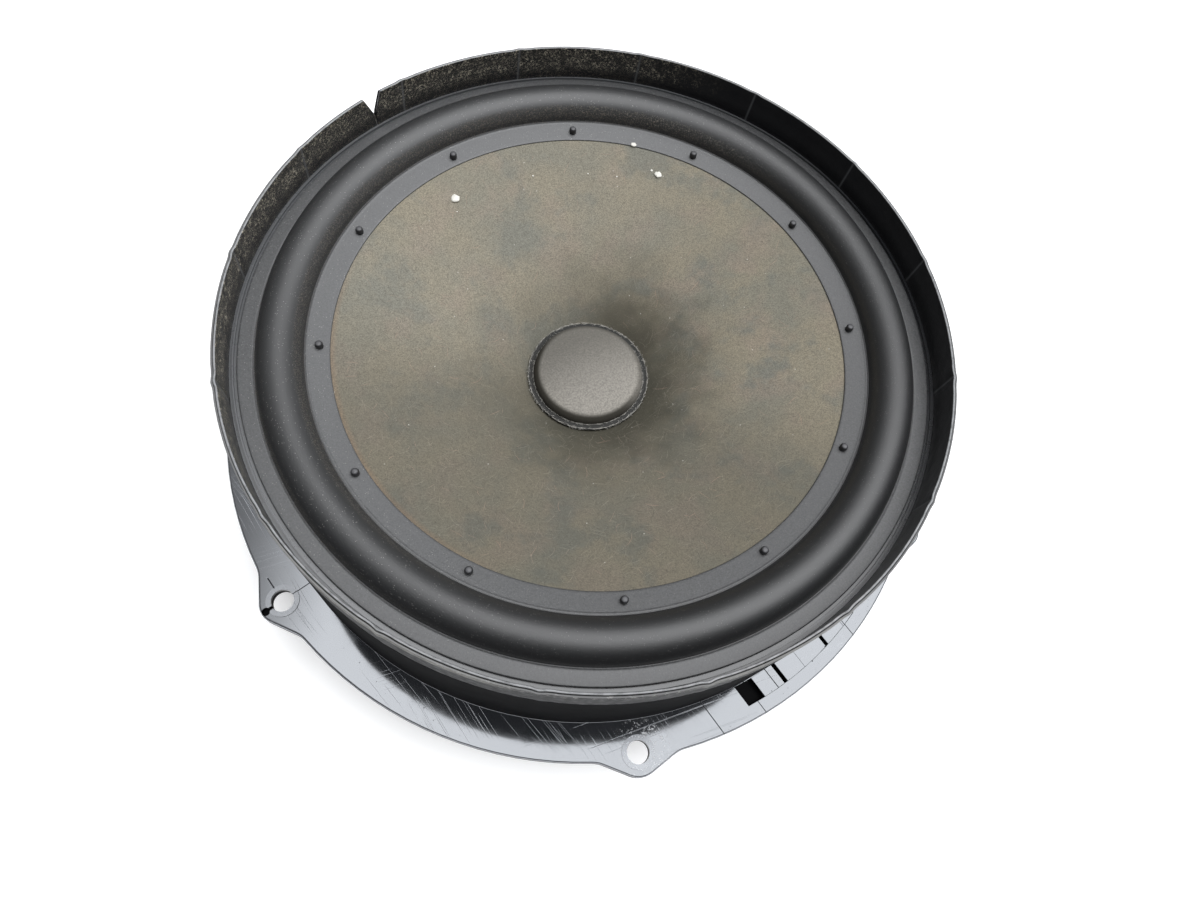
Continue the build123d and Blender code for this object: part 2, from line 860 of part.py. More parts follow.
lead_radius = 0.8
lead_rest_z = tab_z + strip_thickness + lead_radius + glue_gap
lead_bow = [(26.0, 16.0), (42.0, 16.2), (55.5, 11.6), (61.5, 7.9)]


def flexible_lead(side):
    """A round braided lead that bows over the spider, from the coil's pad to the strip's tab."""
    with BuildLine(side_plane(connector_angle).offset(-side * terminal_offset)) as path:
        Spline(
            (neck_radius - 0.4, pad_z + pad_height / 2),
            *lead_bow,
            (tab_end - 1.2, lead_rest_z),
        )
    with BuildSketch(Plane(origin=path.line @ 0, z_dir=path.line % 0)) as section:
        Circle(lead_radius)
    sweep(section.sketch, path=path.line)


with BuildPart() as tinsel_lead_positive:
    flexible_lead(1)
finish(tinsel_lead_positive, "tinsel_lead_positive")

with BuildPart() as tinsel_lead_negative:
    flexible_lead(-1)
finish(tinsel_lead_negative, "tinsel_lead_negative")

# ---- foam gasket behind the flange, open at the connector ---------------------------
gasket_inner, gasket_outer = 100.0, 107.6
gasket_thickness = 2.0
gasket_gap = 1.0

with BuildPart() as flange_gasket:
    tube(gasket_inner, gasket_outer, -gasket_thickness - glue_gap, -glue_gap)
    bay_slab(
        bay_low - gasket_gap,
        bay_high + gasket_gap,
        -gasket_thickness - 1,
        0,
        gasket_inner - 5,
        gasket_outer + 5,
        Mode.SUBTRACT,
    )
finish(flange_gasket, "flange_gasket")
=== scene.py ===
import cmath
import json
import math
import random

import bmesh
import bpy
import numpy as np
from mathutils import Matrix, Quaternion, Vector, noise


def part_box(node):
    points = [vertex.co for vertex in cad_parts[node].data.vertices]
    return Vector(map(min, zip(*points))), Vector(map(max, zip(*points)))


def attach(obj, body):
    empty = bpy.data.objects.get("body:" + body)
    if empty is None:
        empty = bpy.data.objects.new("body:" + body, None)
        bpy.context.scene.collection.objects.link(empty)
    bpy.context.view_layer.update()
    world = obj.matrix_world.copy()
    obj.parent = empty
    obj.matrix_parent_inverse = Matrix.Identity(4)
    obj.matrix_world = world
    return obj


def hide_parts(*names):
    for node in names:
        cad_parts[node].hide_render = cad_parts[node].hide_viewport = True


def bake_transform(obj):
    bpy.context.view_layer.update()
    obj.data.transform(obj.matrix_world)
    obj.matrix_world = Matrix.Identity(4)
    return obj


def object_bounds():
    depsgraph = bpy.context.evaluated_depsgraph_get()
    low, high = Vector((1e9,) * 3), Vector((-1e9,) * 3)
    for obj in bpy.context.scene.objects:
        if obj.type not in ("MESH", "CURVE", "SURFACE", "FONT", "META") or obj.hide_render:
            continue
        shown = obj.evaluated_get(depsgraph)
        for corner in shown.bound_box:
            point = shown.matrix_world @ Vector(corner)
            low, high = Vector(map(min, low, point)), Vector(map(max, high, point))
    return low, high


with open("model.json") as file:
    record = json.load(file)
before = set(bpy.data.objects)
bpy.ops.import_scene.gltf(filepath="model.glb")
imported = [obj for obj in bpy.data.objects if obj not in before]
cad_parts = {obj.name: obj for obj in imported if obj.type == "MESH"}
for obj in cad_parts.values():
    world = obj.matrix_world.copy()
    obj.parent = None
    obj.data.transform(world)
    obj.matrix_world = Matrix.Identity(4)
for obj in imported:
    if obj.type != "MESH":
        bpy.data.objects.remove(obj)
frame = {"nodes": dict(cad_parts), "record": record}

# Looks of a door woofer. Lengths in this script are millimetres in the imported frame, and MM
# turns them into Blender's metres. Angles are degrees from +X.

cad_low, cad_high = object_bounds()
MM = 0.001
X, Y, Z = 0, 1, 2
random.seed(7)


# ---- places: some read from the frame, the rest given -----------------------
def low(node, axis=Z):
    """Lowest coordinate of a CAD node, in millimetres."""
    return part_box(node)[0][axis] / MM


def high(node, axis=Z):
    """Highest coordinate of a CAD node, in millimetres."""
    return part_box(node)[1][axis] / MM


collar_foot = 102.4
flange_face = 3.0
surround_radius = high("surround", X)
roll_crest = high("surround")
ring_under = low("surround")
ring_outer = high("cone", X) + 0.5
ring_inner = ring_outer - 6.75
ring_slope = 0.205
roll_outer = ring_outer + 12.5
bead_height = 0.8
landing = high("basket") - bead_height
flat_top = landing + 1.2
roll_wall = 0.9
pin_circle = 76.9
pin_count = 12
pin_angle = 5.6
pin_radius = 1.1

neck_radius = high("former_wrap", X) + 0.02
cone_inner_radius = high("dust_cap", X) + 0.1
cone_inner_z = high("coil_former")
cone_edge_radius = ring_inner - 0.15
cone_edge_z = ring_under - 0.05
cone_wall = 0.9

lip_inner = high("seal_lip", X) - 0.65
lip_outer = high("seal_lip", X)
band_outer = high("rim_band", X)
strip_foot = low("seal_lip")
lip_top = high("seal_lip")
band_top = high("rim_band")
crease_count = 16
crease_pitch = 360 / crease_count
crease_angle = 15.1
crease_lean = -0.03
crease_half_angle = 1.0
notch_angle = 133.4
notch_floor = 48.4
notch_half_width = 3.15
seam_width = 0.3

connector_angle = -53.5
mount_circle = frame["record"]["mounts"][0]["dims"]["pcd_mm"] / 2
mount_pitch = 60
first_mount_angle = -21.5
index_lobe_angle = first_mount_angle - 2 * mount_pitch
dusty_angle = 145


# ---- mesh helpers -------------------------------------------------------------
def polar(angle, radius, height):
    """A point in metres from its angle, its distance from the axis and its height."""
    turn = math.radians(angle)
    return Vector((radius * math.cos(turn), radius * math.sin(turn), height)) * MM


def put_in_scene(name, data):
    """A new object in the scene that holds a mesh or a camera."""
    piece = bpy.data.objects.new(name, data)
    bpy.context.scene.collection.objects.link(piece)
    return piece


def make_piece(name, points, faces):
    """A smooth mesh object with its faces turned outwards and doubled points joined."""
    mesh = bpy.data.meshes.new(name)
    mesh.from_pydata([tuple(point) for point in points], [], faces)
    work = bmesh.new()
    work.from_mesh(mesh)
    bmesh.ops.remove_doubles(work, verts=work.verts, dist=1e-7)
    bmesh.ops.recalc_face_normals(work, faces=work.faces)
    for face in work.faces:
        face.smooth = True
    work.to_mesh(mesh)
    work.free()
    return put_in_scene(name, mesh)


def tube_faces(rings, count, closed):
    """Faces between rings of count points each: a loop of rings, or a run with two end faces."""
    faces = []
    for ring in range(rings if closed else rings - 1):
        here, ahead = ring * count, ((ring + 1) % rings) * count
        for index in range(count):
            following = (index + 1) % count
            faces.append((here + index, here + following, ahead + following, ahead + index))
    if not closed:
        faces += [tuple(range(count)), tuple((rings - 1) * count + index for index in range(count))]
    return faces


def swept(name, outline, place, steps, closed):
    """A closed outline of (radius, height) points carried round by place(share, radius, height)."""
    rings = steps if closed else steps + 1
    points = [place(ring / steps, *corner) for ring in range(rings) for corner in outline]
    return make_piece(name, points, tube_faces(rings, len(outline), closed))


def turned(name, outline, steps=360):
    """A full ring, turned about the axis from a closed outline."""

    def place(share, radius, height):
        return polar(360 * share, radius, height)

    return swept(name, outline, place, steps, True)


def arc(start, middle, end, steps):
    """Points on the circle through three points, both ends included."""
    first, through, last = (complex(*point) for point in (start, middle, end))
    ratio = (last - first) / (through - first)
    centre = first + (through - first) * (ratio - abs(ratio) ** 2) / (2j * ratio.imag)
    spoke = first - centre
    to_through = cmath.phase((through - centre) / spoke) % math.tau
    to_last = cmath.phase((last - centre) / spoke) % math.tau
    sweep = to_last if to_through < to_last else to_last - math.tau
    points = [centre + spoke * cmath.rect(1, sweep * step / steps) for step in range(steps + 1)]
    return [(point.real, point.imag) for point in points]


def add_blob(points, faces, centre, steps, side, swell=lambda step: 1.0):
    """Adds a small turned shape at centre; swell scales its side outline at each step round."""
    start, count = len(points), len(side)
    for step in range(steps):
        scale = swell(step)
        points += [centre + polar(360 * step / steps, scale * wide, scale * tall) for wide, tall in side]
        here, ahead = start + step * count, start + ((step + 1) % steps) * count
        faces += [(here + k, here + k + 1, ahead + k + 1, ahead + k) for k in range(count - 1)]


def softened(corners, radius, steps):
    """The closed outline with each of its corners replaced by a short curve."""
    outline = []
    for index, corner in enumerate(corners):
        here = Vector(corner)
        before = Vector(corners[index - 1]) - here
        after = Vector(corners[(index + 1) % len(corners)]) - here
        entry = here + before.normalized() * min(radius, before.length * 0.45)
        leave = here + after.normalized() * min(radius, after.length * 0.45)
        for step in range(steps + 1):
            t = step / steps
            point = entry * (1 - t) ** 2 + here * 2 * t * (1 - t) + leave * t * t
            outline.append((point.x, point.y))
    return outline


def dress(piece, material, node, body):
    """Paints a piece, lets it stand for a CAD node and makes it ride on a body."""
    piece.data.materials.append(material)
    if node:
        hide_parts(node)
    if body:
        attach(piece, body)
    return piece


def bend_between(piece, share_moving):
    """Bakes the piece's placement into its mesh; share_moving gives each point's part of the travel from
    the chassis to the cone, worked out here but not used.
    """
    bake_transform(piece)
    weights = [share_moving(vertex.co / MM) for vertex in piece.data.vertices]
    return piece


def ease(value, start, end):
    """Smooth step from 0 at start to 1 at end."""
    t = min(max((value - start) / (end - start), 0), 1)
    return t * t * (3 - 2 * t)


# ---- node helpers ----------------------------------------------------------------
class Nodes:
    """A node tree, with short names for the nodes that the materials and the sky share."""

    def __init__(self, tree):
        self.tree = tree

    def add(self, kind, inputs=None, **settings):
        node = self.tree.nodes.new(kind)
        for key, value in settings.items():
            setattr(node, key, value)
        for key, value in (inputs or {}).items():
            self.connect(value, node.inputs[key])
        return node

    def connect(self, value, socket):
        if isinstance(value, bpy.types.NodeSocket):
            self.tree.links.new(value, socket)
        elif isinstance(value, (tuple, list)) and socket.type == "RGBA":
            socket.default_value = (*value, 1.0)
        else:
            socket.default_value = value

    def math(self, operation, first, second=0.0):
        return self.add("ShaderNodeMath", {0: first, 1: second}, operation=operation).outputs[0]

    def times(self, *values):
        total = values[0]
        for value in values[1:]:
            total = self.math("MULTIPLY", total, value)
        return total

    def ramp(self, value, start, end, to_start=0.0, to_end=1.0):
        """Smooth ramp of a value between two limits."""
        inputs = {0: value, 1: start, 2: end, 3: to_start, 4: to_end}
        return self.add("ShaderNodeMapRange", inputs, interpolation_type="SMOOTHSTEP").outputs[0]


class Paint(Nodes):
    """One procedural material, with the textures, masks and places in millimetres that finishes use."""

    def __init__(self, name):
        self.material = bpy.data.materials.new(name)
        self.material.use_nodes = True
        super().__init__(self.material.node_tree)
        self.shader = self.tree.nodes["Principled BSDF"]
        self.place = self.add("ShaderNodeTexCoord").outputs["Object"]
        self.normal = self.add("ShaderNodeNewGeometry").outputs["Normal"]
        self.point = self.vector("MULTIPLY", self.place, (1 / MM,) * 3)
        self.x, self.y, self.z = self.add("ShaderNodeSeparateXYZ", {0: self.point}).outputs
        self.flat = self.vector("MULTIPLY", self.point, (1, 1, 0))
        self.radius = self.vector("LENGTH", self.flat)

    def vector(self, operation, *values):
        """A vector operation's result, which is a plain number for a length or a dot product."""
        node = self.add("ShaderNodeVectorMath", dict(enumerate(values)), operation=operation)
        return node.outputs[1 if operation in ("LENGTH", "DOT_PRODUCT") else 0]

    def within(self, value, start, end, soft):
        """One between start and end, zero outside."""
        rise = self.ramp(value, start - soft, start + soft)
        fall = self.ramp(value, end - soft, end + soft, 1.0, 0.0)
        return self.times(rise, fall)

    def noise(self, size, detail=3.0, rough=0.55, twist=0.0, stretch=None, turn=0.0, seed=0.0):
        """Noise whose blotches are about size millimetres across."""
        inputs = {"Vector": self.place, "Rotation": (0, 0, math.radians(-turn))}
        turned_place = self.add("ShaderNodeMapping", inputs).outputs[0]
        inputs = {"Vector": turned_place, "Scale": stretch or (1, 1, 1), "Location": (seed,) * 3}
        moved = self.add("ShaderNodeMapping", inputs).outputs[0]
        inputs = {"Vector": moved, "Scale": 1 / (size * MM), "Detail": detail}
        inputs.update({"Roughness": rough, "Distortion": twist})
        return self.add("ShaderNodeTexNoise", inputs).outputs[0]

    def patches(self, start, end, size, *settings, **more):
        """Soft-edged patches where a noise rises from start to end."""
        return self.ramp(self.noise(size, *settings, **more), start, end)

    def cells(self, size, seed=0.0):
        """Distance to scattered points about size millimetres apart."""
        moved = self.add("ShaderNodeMapping", {"Vector": self.place, "Location": (seed,) * 3}).outputs[0]
        inputs = {"Vector": moved, "Scale": 1 / (size * MM)}
        return self.add("ShaderNodeTexVoronoi", inputs).outputs["Distance"]

    def hairs(self, size, width, twist, seed):
        """Thin curved lines: places where a noise crosses its middle value."""
        level = self.noise(size, 1.0, 0.4, twist, seed=seed)
        return self.ramp(self.math("ABSOLUTE", self.math("SUBTRACT", level, 0.5)), 0.0, width, 1.0, 0.0)

    def specks(self, spacing, share, seed=0.0):
        """Small separate dots, share of the spacing across."""
        return self.ramp(self.cells(spacing, seed=seed), share * 0.5, share, 1.0, 0.0)

    def along(self, angle):
        """Distance from the axis measured in one direction."""
        return self.vector("DOT_PRODUCT", self.point, tuple(polar(angle, 1 / MM, 0)))

    def facing(self, angle, half_width, soft=20):
        """One within half_width of an angle round the axis, fading over soft degrees."""
        outwards = self.vector("NORMALIZE", self.flat)
        level = self.vector("DOT_PRODUCT", outwards, tuple(polar(angle, 1 / MM, 0)))
        start = math.cos(math.radians(min(half_width + soft, 180)))
        return self.ramp(level, start, math.cos(math.radians(half_width)))

    def folded_angle(self, start, pitch, lean=0.0):
        """Degrees to the nearest of the places start, start + pitch and so on, which lean with height."""
        turn = self.times(self.math("ARCTAN2", self.y, self.x), 180 / math.pi)
        shift = self.times(self.math("SUBTRACT", self.z, strip_foot), lean)
        turn = self.math("SUBTRACT", self.math("SUBTRACT", turn, start), shift)
        return self.math("PINGPONG", turn, pitch / 2)

    def mix(self, share, first, second):
        """Colour between two colours."""
        node = self.add("ShaderNodeMix", data_type="RGBA", clamp_factor=True)
        for value, index in ((share, 0), (first, 6), (second, 7)):
            self.connect(value, node.inputs[index])
        return node.outputs[2]

    def layered(self, base, *layers):
        """A base colour with others laid over it in turn, each where its mask is one."""
        for mask, color in layers:
            base = self.mix(mask, base, color)
        return base

    def bump(self, height, depth, under=None):
        """Surface relief of depth millimetres, added to an earlier one."""
        node = self.add("ShaderNodeBump", {"Height": height, "Distance": depth * MM})
        if under is not None:
            self.connect(under, node.inputs["Normal"])
        return node.outputs[0]

    def finish(self, color, rough, normal=None, **inputs):
        values = {"Base Color": color, "Roughness": rough}
        values.update({key.replace("_", " "): value for key, value in inputs.items()})
        if normal is not None:
            values["Normal"] = normal
        for key, value in values.items():
            self.connect(value, self.shader.inputs[key])
        return self.material


# ---- finishes ------------------------------------------------------------------------
def scratches(paint, turn, density, seed):
    """Fine straight scratches in one direction."""
    streak = paint.noise(2.2, 1.0, 0.3, 0.0, (0.03, 7.0, 1.0), turn, seed)
    patch = paint.noise(26.0, 1.0, seed=seed + 3)
    return paint.times(paint.ramp(streak, density, density + 0.05), paint.ramp(patch, 0.45, 0.7))


def groove_line(paint, value, at, width):
    """A hairline where a distance crosses a place."""
    gap = paint.math("ABSOLUTE", paint.math("SUBTRACT", value, at))
    return paint.ramp(gap, width * 0.3, width, 1.0, 0.0)


def hole_distance(paint):
    """Distance to the middle of the nearest mounting hole."""
    turn = paint.folded_angle(first_mount_angle, mount_pitch)
    beside = paint.times(paint.radius, paint.math("SINE", paint.times(turn, math.pi / 180)))
    ahead = paint.times(paint.radius, paint.math("COSINE", paint.times(turn, math.pi / 180)))
    ahead = paint.math("SUBTRACT", ahead, mount_circle)
    return paint.math("SQRT", paint.math("ADD", paint.times(beside, beside), paint.times(ahead, ahead)))


def knit_lines(paint):
    """Hairlines where the flow of plastic met: beside the connector's bay and at one lobe."""
    across, outwards = paint.along(connector_angle + 90), paint.along(connector_angle)
    lines = groove_line(paint, across, -29, 0.16)
    for place in (-15, 22.2):
        lines = paint.math("MAXIMUM", lines, groove_line(paint, across, place, 0.14))
    lines = paint.times(lines, paint.ramp(outwards, 84, 92))
    beside, ahead = paint.along(index_lobe_angle + 90), paint.along(index_lobe_angle)
    reach = paint.within(ahead, collar_foot - 0.2, 108.5, 0.2)
    inward = paint.times(groove_line(paint, beside, 0, 0.2), reach)
    sideways = paint.times(
        groove_line(paint, paint.math("SUBTRACT", ahead, mount_circle), 0.0, 0.2),
        paint.within(beside, -8.5, -4.5, 0.2),
    )
    return paint.math("MAXIMUM", lines, paint.math("MAXIMUM", inward, sideways))


def polished_flange(paint, flange):
    """Normal of the flange's face, which leans a little towards the axis in front."""
    dish = 0.03
    flange = paint.times(flange, paint.facing(-97, 26, 18))
    outwards = paint.vector("NORMALIZE", paint.flat)
    lean = paint.vector("MULTIPLY", outwards, paint.times(flange, -dish))
    return paint.vector("NORMALIZE", paint.vector("ADD", paint.normal, lean))


def moulding_zones(paint, up):
    """Masks of the moulding: the flange's face, the collar and the bay's sunken slots."""
    flange = paint.times(
        paint.ramp(paint.radius, collar_foot - 0.7, collar_foot),
        paint.ramp(paint.z, flange_face - 0.9, flange_face - 0.6),
        paint.ramp(paint.z, flange_face + 0.6, flange_face + 0.9, 1.0, 0.0),
        paint.ramp(up, 0.3, 0.6),
    )
    collar = paint.times(
        paint.ramp(paint.radius, collar_foot - 1.8, collar_foot - 1.4),
        paint.ramp(paint.z, flange_face + 0.3, flange_face + 0.9),
    )
    sunk = paint.times(
        paint.ramp(paint.radius, collar_foot - 0.8, collar_foot - 0.4),
        paint.within(paint.z, -0.2, flange_face - 0.8, 0.15),
    )
    return flange, collar, sunk


def flange_wear(paint, flange):
    """Masks of the flange's scratches, washer rings, rubbed patch, dark dots and knit lines."""
    marks = paint.math("ADD", scratches(paint, -55, 0.62, 1), scratches(paint, -48, 0.64, 5))
    marks = paint.math("ADD", marks, scratches(paint, 20, 0.67, 9))
    hole = hole_distance(paint)
    washer = paint.within(hole, 3.2, 4.75, 0.12)
    rubbed = paint.times(
        paint.within(hole, 3.2, 9.0, 1.2),
        paint.patches(0.52, 0.66, 0.9, 4, 0.7, seed=3.0),
        paint.facing(-78, 3, 4),
    )
    dots = paint.times(paint.specks(3.1, 0.085), paint.patches(0.42, 0.62, 9))
    fine_dots = paint.times(paint.specks(1.3, 0.10, 4), paint.patches(0.5, 0.62, 17))
    dots = paint.math("MAXIMUM", dots, fine_dots)
    return [paint.times(mask, flange) for mask in (marks, washer, rubbed, dots, knit_lines(paint))]


def basket_plastic():
    """Moulded black plastic: near-mirror flange with specks and scratches, painted highlight on its
    rounded edges; matt collar with painted shade on its wall and in the bay's sunken slots; duller
    behind.
    """
    paint = Paint("gloss_moulded_plastic")
    up = paint.add("ShaderNodeSeparateXYZ", {0: paint.normal}).outputs[2]
    flange, collar, sunk = moulding_zones(paint, up)
    marks, washer, rubbed, dots, knits = flange_wear(paint, flange)
    specked = paint.math("MAXIMUM", dots, knits)
    behind = paint.ramp(up, -0.2, 0.1, 1.0, 0.0)
    collar_shade = paint.times(collar, paint.ramp(paint.z, 42.0, 43.2, 1.0, 0.0))
    ledge = paint.ramp(paint.z, landing - 0.3, landing - 0.1)
    cloud = paint.noise(8, 4)
    color = paint.layered(
        (0.008, 0.009, 0.011),
        (paint.times(marks, 0.4), (0.16, 0.165, 0.175)),
        (paint.times(washer, cloud), (0.16, 0.165, 0.175)),
        (paint.times(rubbed, 0.7), (0.30, 0.30, 0.30)),
        (paint.times(behind, cloud), (0.022, 0.022, 0.024)),
        (paint.times(ledge, paint.facing(dusty_angle, 75, 50)), (0.085, 0.088, 0.092)),
        # Grey on the flange's rounded edges, where its face turns down out of the flat: painted
        # highlight.
        (paint.times(flange, paint.ramp(up, 0.62, 0.9, 1.0, 0.0)), (0.30, 0.31, 0.33)),
        # Near black on the collar's wall below its top and in the bay's sunken slots: painted shade.
        (paint.math("MAXIMUM", collar_shade, sunk), (0.0035, 0.0035, 0.004)),
        (specked, (0.004, 0.004, 0.006)),
    )
    rough = paint.ramp(cloud, 0.3, 0.8, 0.06, 0.10)
    rough = paint.math("ADD", rough, paint.ramp(flange, 0, 1, 0.20, 0.0))
    for mask, more in ((behind, 0.2), (collar, 0.35), (dots, 0.6), (washer, 0.14), (rubbed, 0.25)):
        rough = paint.math("ADD", rough, paint.times(mask, more))
    shaded_collar = paint.times(collar, paint.facing(-97, 50, 25))
    dull = paint.times(paint.math("MAXIMUM", shaded_collar, sunk), 0.494)
    shine = paint.math("SUBTRACT", paint.ramp(flange, 0, 1, 0.5, 1.0), dull)
    shine = paint.times(shine, paint.ramp(specked, 0, 1, 1.0, 0.1))
    waves = paint.bump(paint.noise(30, 1), 0.05, polished_flange(paint, flange))
    cuts = paint.math("ADD", paint.times(knits, -1.0), paint.times(marks, -0.2))
    relief = paint.bump(cuts, 0.04, waves)
    tint = paint.mix(flange, (1.0, 1.0, 1.0), (0.93, 0.96, 1.0))
    return paint.finish(color, rough, relief, Specular_IOR_Level=shine, Specular_Tint=tint, IOR=1.75)


def dust_share(paint):
    """Beige grit, thickest on the left and upper left."""
    grit = paint.patches(0.54, 0.59, 0.6, 4, 0.8, 0.8, seed=1.0)
    clumps = paint.ramp(paint.noise(2.6, 3, seed=3.0), 0.36, 0.56, 0.2, 1.0)
    higher = paint.ramp(paint.z, strip_foot + 3.0, strip_foot + 7.0, 0.04, 1.0)
    return paint.times(grit, clumps, higher, paint.facing(dusty_angle, 58, 24))


def strip_film():
    """Black lip: beige grit inside on the dusty side, polished elsewhere, with painted highlights along
    its top edge and its folds.
    """
    paint = Paint("creased_black_strip")
    inner = paint.ramp(paint.radius, lip_inner + 0.1, lip_inner + 0.4, 1.0, 0.0)
    edge = paint.ramp(paint.z, lip_top - 0.22, lip_top - 0.05)
    dust = paint.times(dust_share(paint), inner)
    fibres = paint.times(paint.hairs(1.4, 0.012, 2.5, 3.0), paint.facing(dusty_angle, 50, 25), 0.8)
    # Thin light lines along the folds: painted highlight.
    fold = paint.ramp(paint.folded_angle(crease_angle, crease_pitch, crease_lean), 0.06, 0.3, 1.0, 0.0)
    # Pale patchy line along the top edge: painted highlight.
    top_edge_highlight = paint.times(edge, paint.ramp(paint.noise(2.0, 3), 0.25, 0.6, 0.5, 1.0))
    color = paint.layered(
        (0.006, 0.006, 0.008),
        (paint.noise(6, 4), (0.014, 0.014, 0.015)),
        (paint.math("MAXIMUM", dust, paint.times(fibres, inner)), (0.54, 0.495, 0.39)),
        (paint.times(fold, 0.6), (0.14, 0.145, 0.15)),
        (top_edge_highlight, (0.25, 0.255, 0.26)),
    )
    rough = paint.mix(dust, (0.34,) * 3, (0.9,) * 3)
    relief = paint.bump(paint.noise(0.6, 3), 0.05)
    relief = paint.bump(paint.noise(7, 2), 0.25, relief)
    return paint.finish(color, rough, relief)


def band_wrap():
    """Outer band: pale haze at both flanks of the front, dark with white scuffs between, kept to its top
    few millimetres so that the black below is painted shade; painted highlight along its top edge.
    """
    paint = Paint("scuffed_band")
    flanks = paint.math("MAXIMUM", paint.facing(-122, 14, 10), paint.facing(-63, 8, 9))
    middle = paint.facing(-93, 16, 8)
    haze = paint.ramp(paint.noise(3.5, 4, stretch=(1, 1, 0.25)), 0.35, 0.65, 0.55, 1.0)
    # Haze and scuffs only on the top few millimetres: the band left black below them is painted shade.
    unshaded_top = paint.ramp(paint.z, band_top - 3.0, band_top - 2.2)
    scuffs = paint.patches(0.56, 0.64, 1.5, 5, 0.7, stretch=(1, 1, 3))
    # Pale line along the top edge: painted highlight.
    edge = paint.ramp(paint.z, band_top - 0.25, band_top - 0.05)
    color = paint.layered(
        (0.005, 0.005, 0.006),
        (paint.noise(4, 3), (0.012, 0.012, 0.013)),
        (paint.times(flanks, haze, unshaded_top, 0.8), (0.22, 0.215, 0.195)),
        (paint.times(scuffs, middle, unshaded_top), (0.34, 0.33, 0.31)),
        (paint.times(edge, 0.7), (0.20, 0.20, 0.20)),
    )
    rough = paint.ramp(paint.noise(2), 0.3, 0.7, 0.5, 0.65)
    relief = paint.bump(paint.noise(0.8, 3), 0.05)
    relief = paint.bump(paint.noise(5, 2, stretch=(1, 1, 0.3)), 0.2, relief)
    return paint.finish(color, rough, relief, Specular_IOR_Level=0.12)


def surround_rubber():
    """Satin black rubber, greyer on its two flat flanges, with a painted sheen on them at the left, and
    sparkles and grit in the roll's feet.
    """
    paint = Paint("satin_rubber")
    r = paint.radius
    ring = paint.ramp(r, ring_outer - 0.5, ring_outer - 0.1, 1.0, 0.0)
    flat = paint.ramp(r, roll_outer + 0.1, roll_outer + 0.4)
    dust_and_sheen_side = paint.facing(dusty_angle + 10, 60, 70)
    mottling = paint.noise(0.45, 4, 0.7)
    coarse = paint.ramp(mottling, 0.3, 0.7)
    # Paler film on the two flat flanges at the left: painted sheen. The same side also gets more of the
    # dust specks below.
    painted_sheen = paint.times(dust_and_sheen_side, paint.ramp(paint.math("ADD", ring, flat), 0, 1, 0.06, 0.12))
    inner_foot = paint.within(r, ring_outer - 0.1, ring_outer + 1.7, 0.5)
    outer_foot = paint.within(r, roll_outer - 0.9, roll_outer + 0.5, 0.35)
    feet = paint.math("MAXIMUM", paint.times(inner_foot, 0.85), paint.times(outer_foot, 0.55))
    grit = paint.times(paint.patches(0.50, 0.66, 0.4, 4, 0.8), feet, paint.facing(dusty_angle, 60, 50))
    sparkle = paint.times(paint.specks(0.62, 0.2, 2), paint.patches(0.42, 0.62, 1.7))
    color = paint.layered(
        (0.009, 0.0092, 0.0095),
        (mottling, (0.016, 0.0163, 0.017)),
        (ring, paint.mix(coarse, (0.024, 0.0245, 0.025), (0.058, 0.059, 0.0605))),
        (flat, paint.mix(coarse, (0.014, 0.0143, 0.0148), (0.050, 0.051, 0.0525))),
        (painted_sheen, (0.16, 0.165, 0.17)),
        (grit, (0.19, 0.16, 0.12)),
        (paint.times(sparkle, paint.ramp(dust_and_sheen_side, 0, 1, 0.25, 0.7)), (0.38, 0.37, 0.35)),
    )
    rough = paint.ramp(mottling, 0.3, 0.7, 0.38, 0.46)
    relief = paint.bump(paint.noise(0.3, 4, 0.8), 0.05)
    relief = paint.bump(grit, 0.12, relief)
    return paint.finish(color, rough, relief, Specular_IOR_Level=0.75)


def pin_rubber():
    """Dark rubber of the moulded stubs, with a painted highlight on their tops."""
    paint = Paint("stub_rubber")
    color = paint.mix(paint.noise(0.4, 3), (0.010, 0.010, 0.011), (0.022, 0.022, 0.024))
    # Paler tops: painted highlight.
    top = paint.ramp(paint.z, 45.6, 45.9)
    color = paint.mix(paint.times(top, 0.7), color, (0.09, 0.09, 0.095))
    return paint.finish(color, 0.42, paint.bump(paint.noise(0.3), 0.04))


def cone_tint(paint):
    """Colour of the pulp: beige at the upper left, cooler smears, darker below, darkest at the neck,
    partly the pulp's own dye and partly painted shade.
    """
    r = paint.radius
    smear = paint.times(paint.math("SUBTRACT", paint.noise(9, 2, seed=11.0), 0.5), 20)
    # Darker towards the neck, most on the right: partly the pulp's own dye, partly painted shade in the
    # steep neck.
    neck = paint.ramp(paint.math("ADD", r, smear), 17, 47, 1.0, 0.0)
    neck = paint.times(neck, paint.ramp(paint.facing(-20, 70, 90), 0, 1, 0.35, 0.9))
    rust = paint.times(paint.ramp(r, 72.2, 74.0), paint.facing(205, 26, 22), 0.22)
    return paint.layered(
        (0.258, 0.229, 0.169),
        (paint.patches(0.36, 0.66, 19, 3, seed=2.0), (0.208, 0.200, 0.160)),
        (paint.times(paint.patches(0.48, 0.68, 13, 3, seed=8.0), 0.45), (0.276, 0.220, 0.178)),
        (paint.times(paint.patches(0.50, 0.66, 17, 4, 0.6, seed=5.0), 0.75), (0.150, 0.160, 0.142)),
        (paint.times(paint.facing(140, 45, 60), 0.25), (0.335, 0.308, 0.248)),
        (paint.times(paint.facing(260, 52, 45), 0.52), (0.068, 0.063, 0.047)),
        (neck, (0.040, 0.038, 0.026)),
        (rust, (0.30, 0.16, 0.085)),
    )


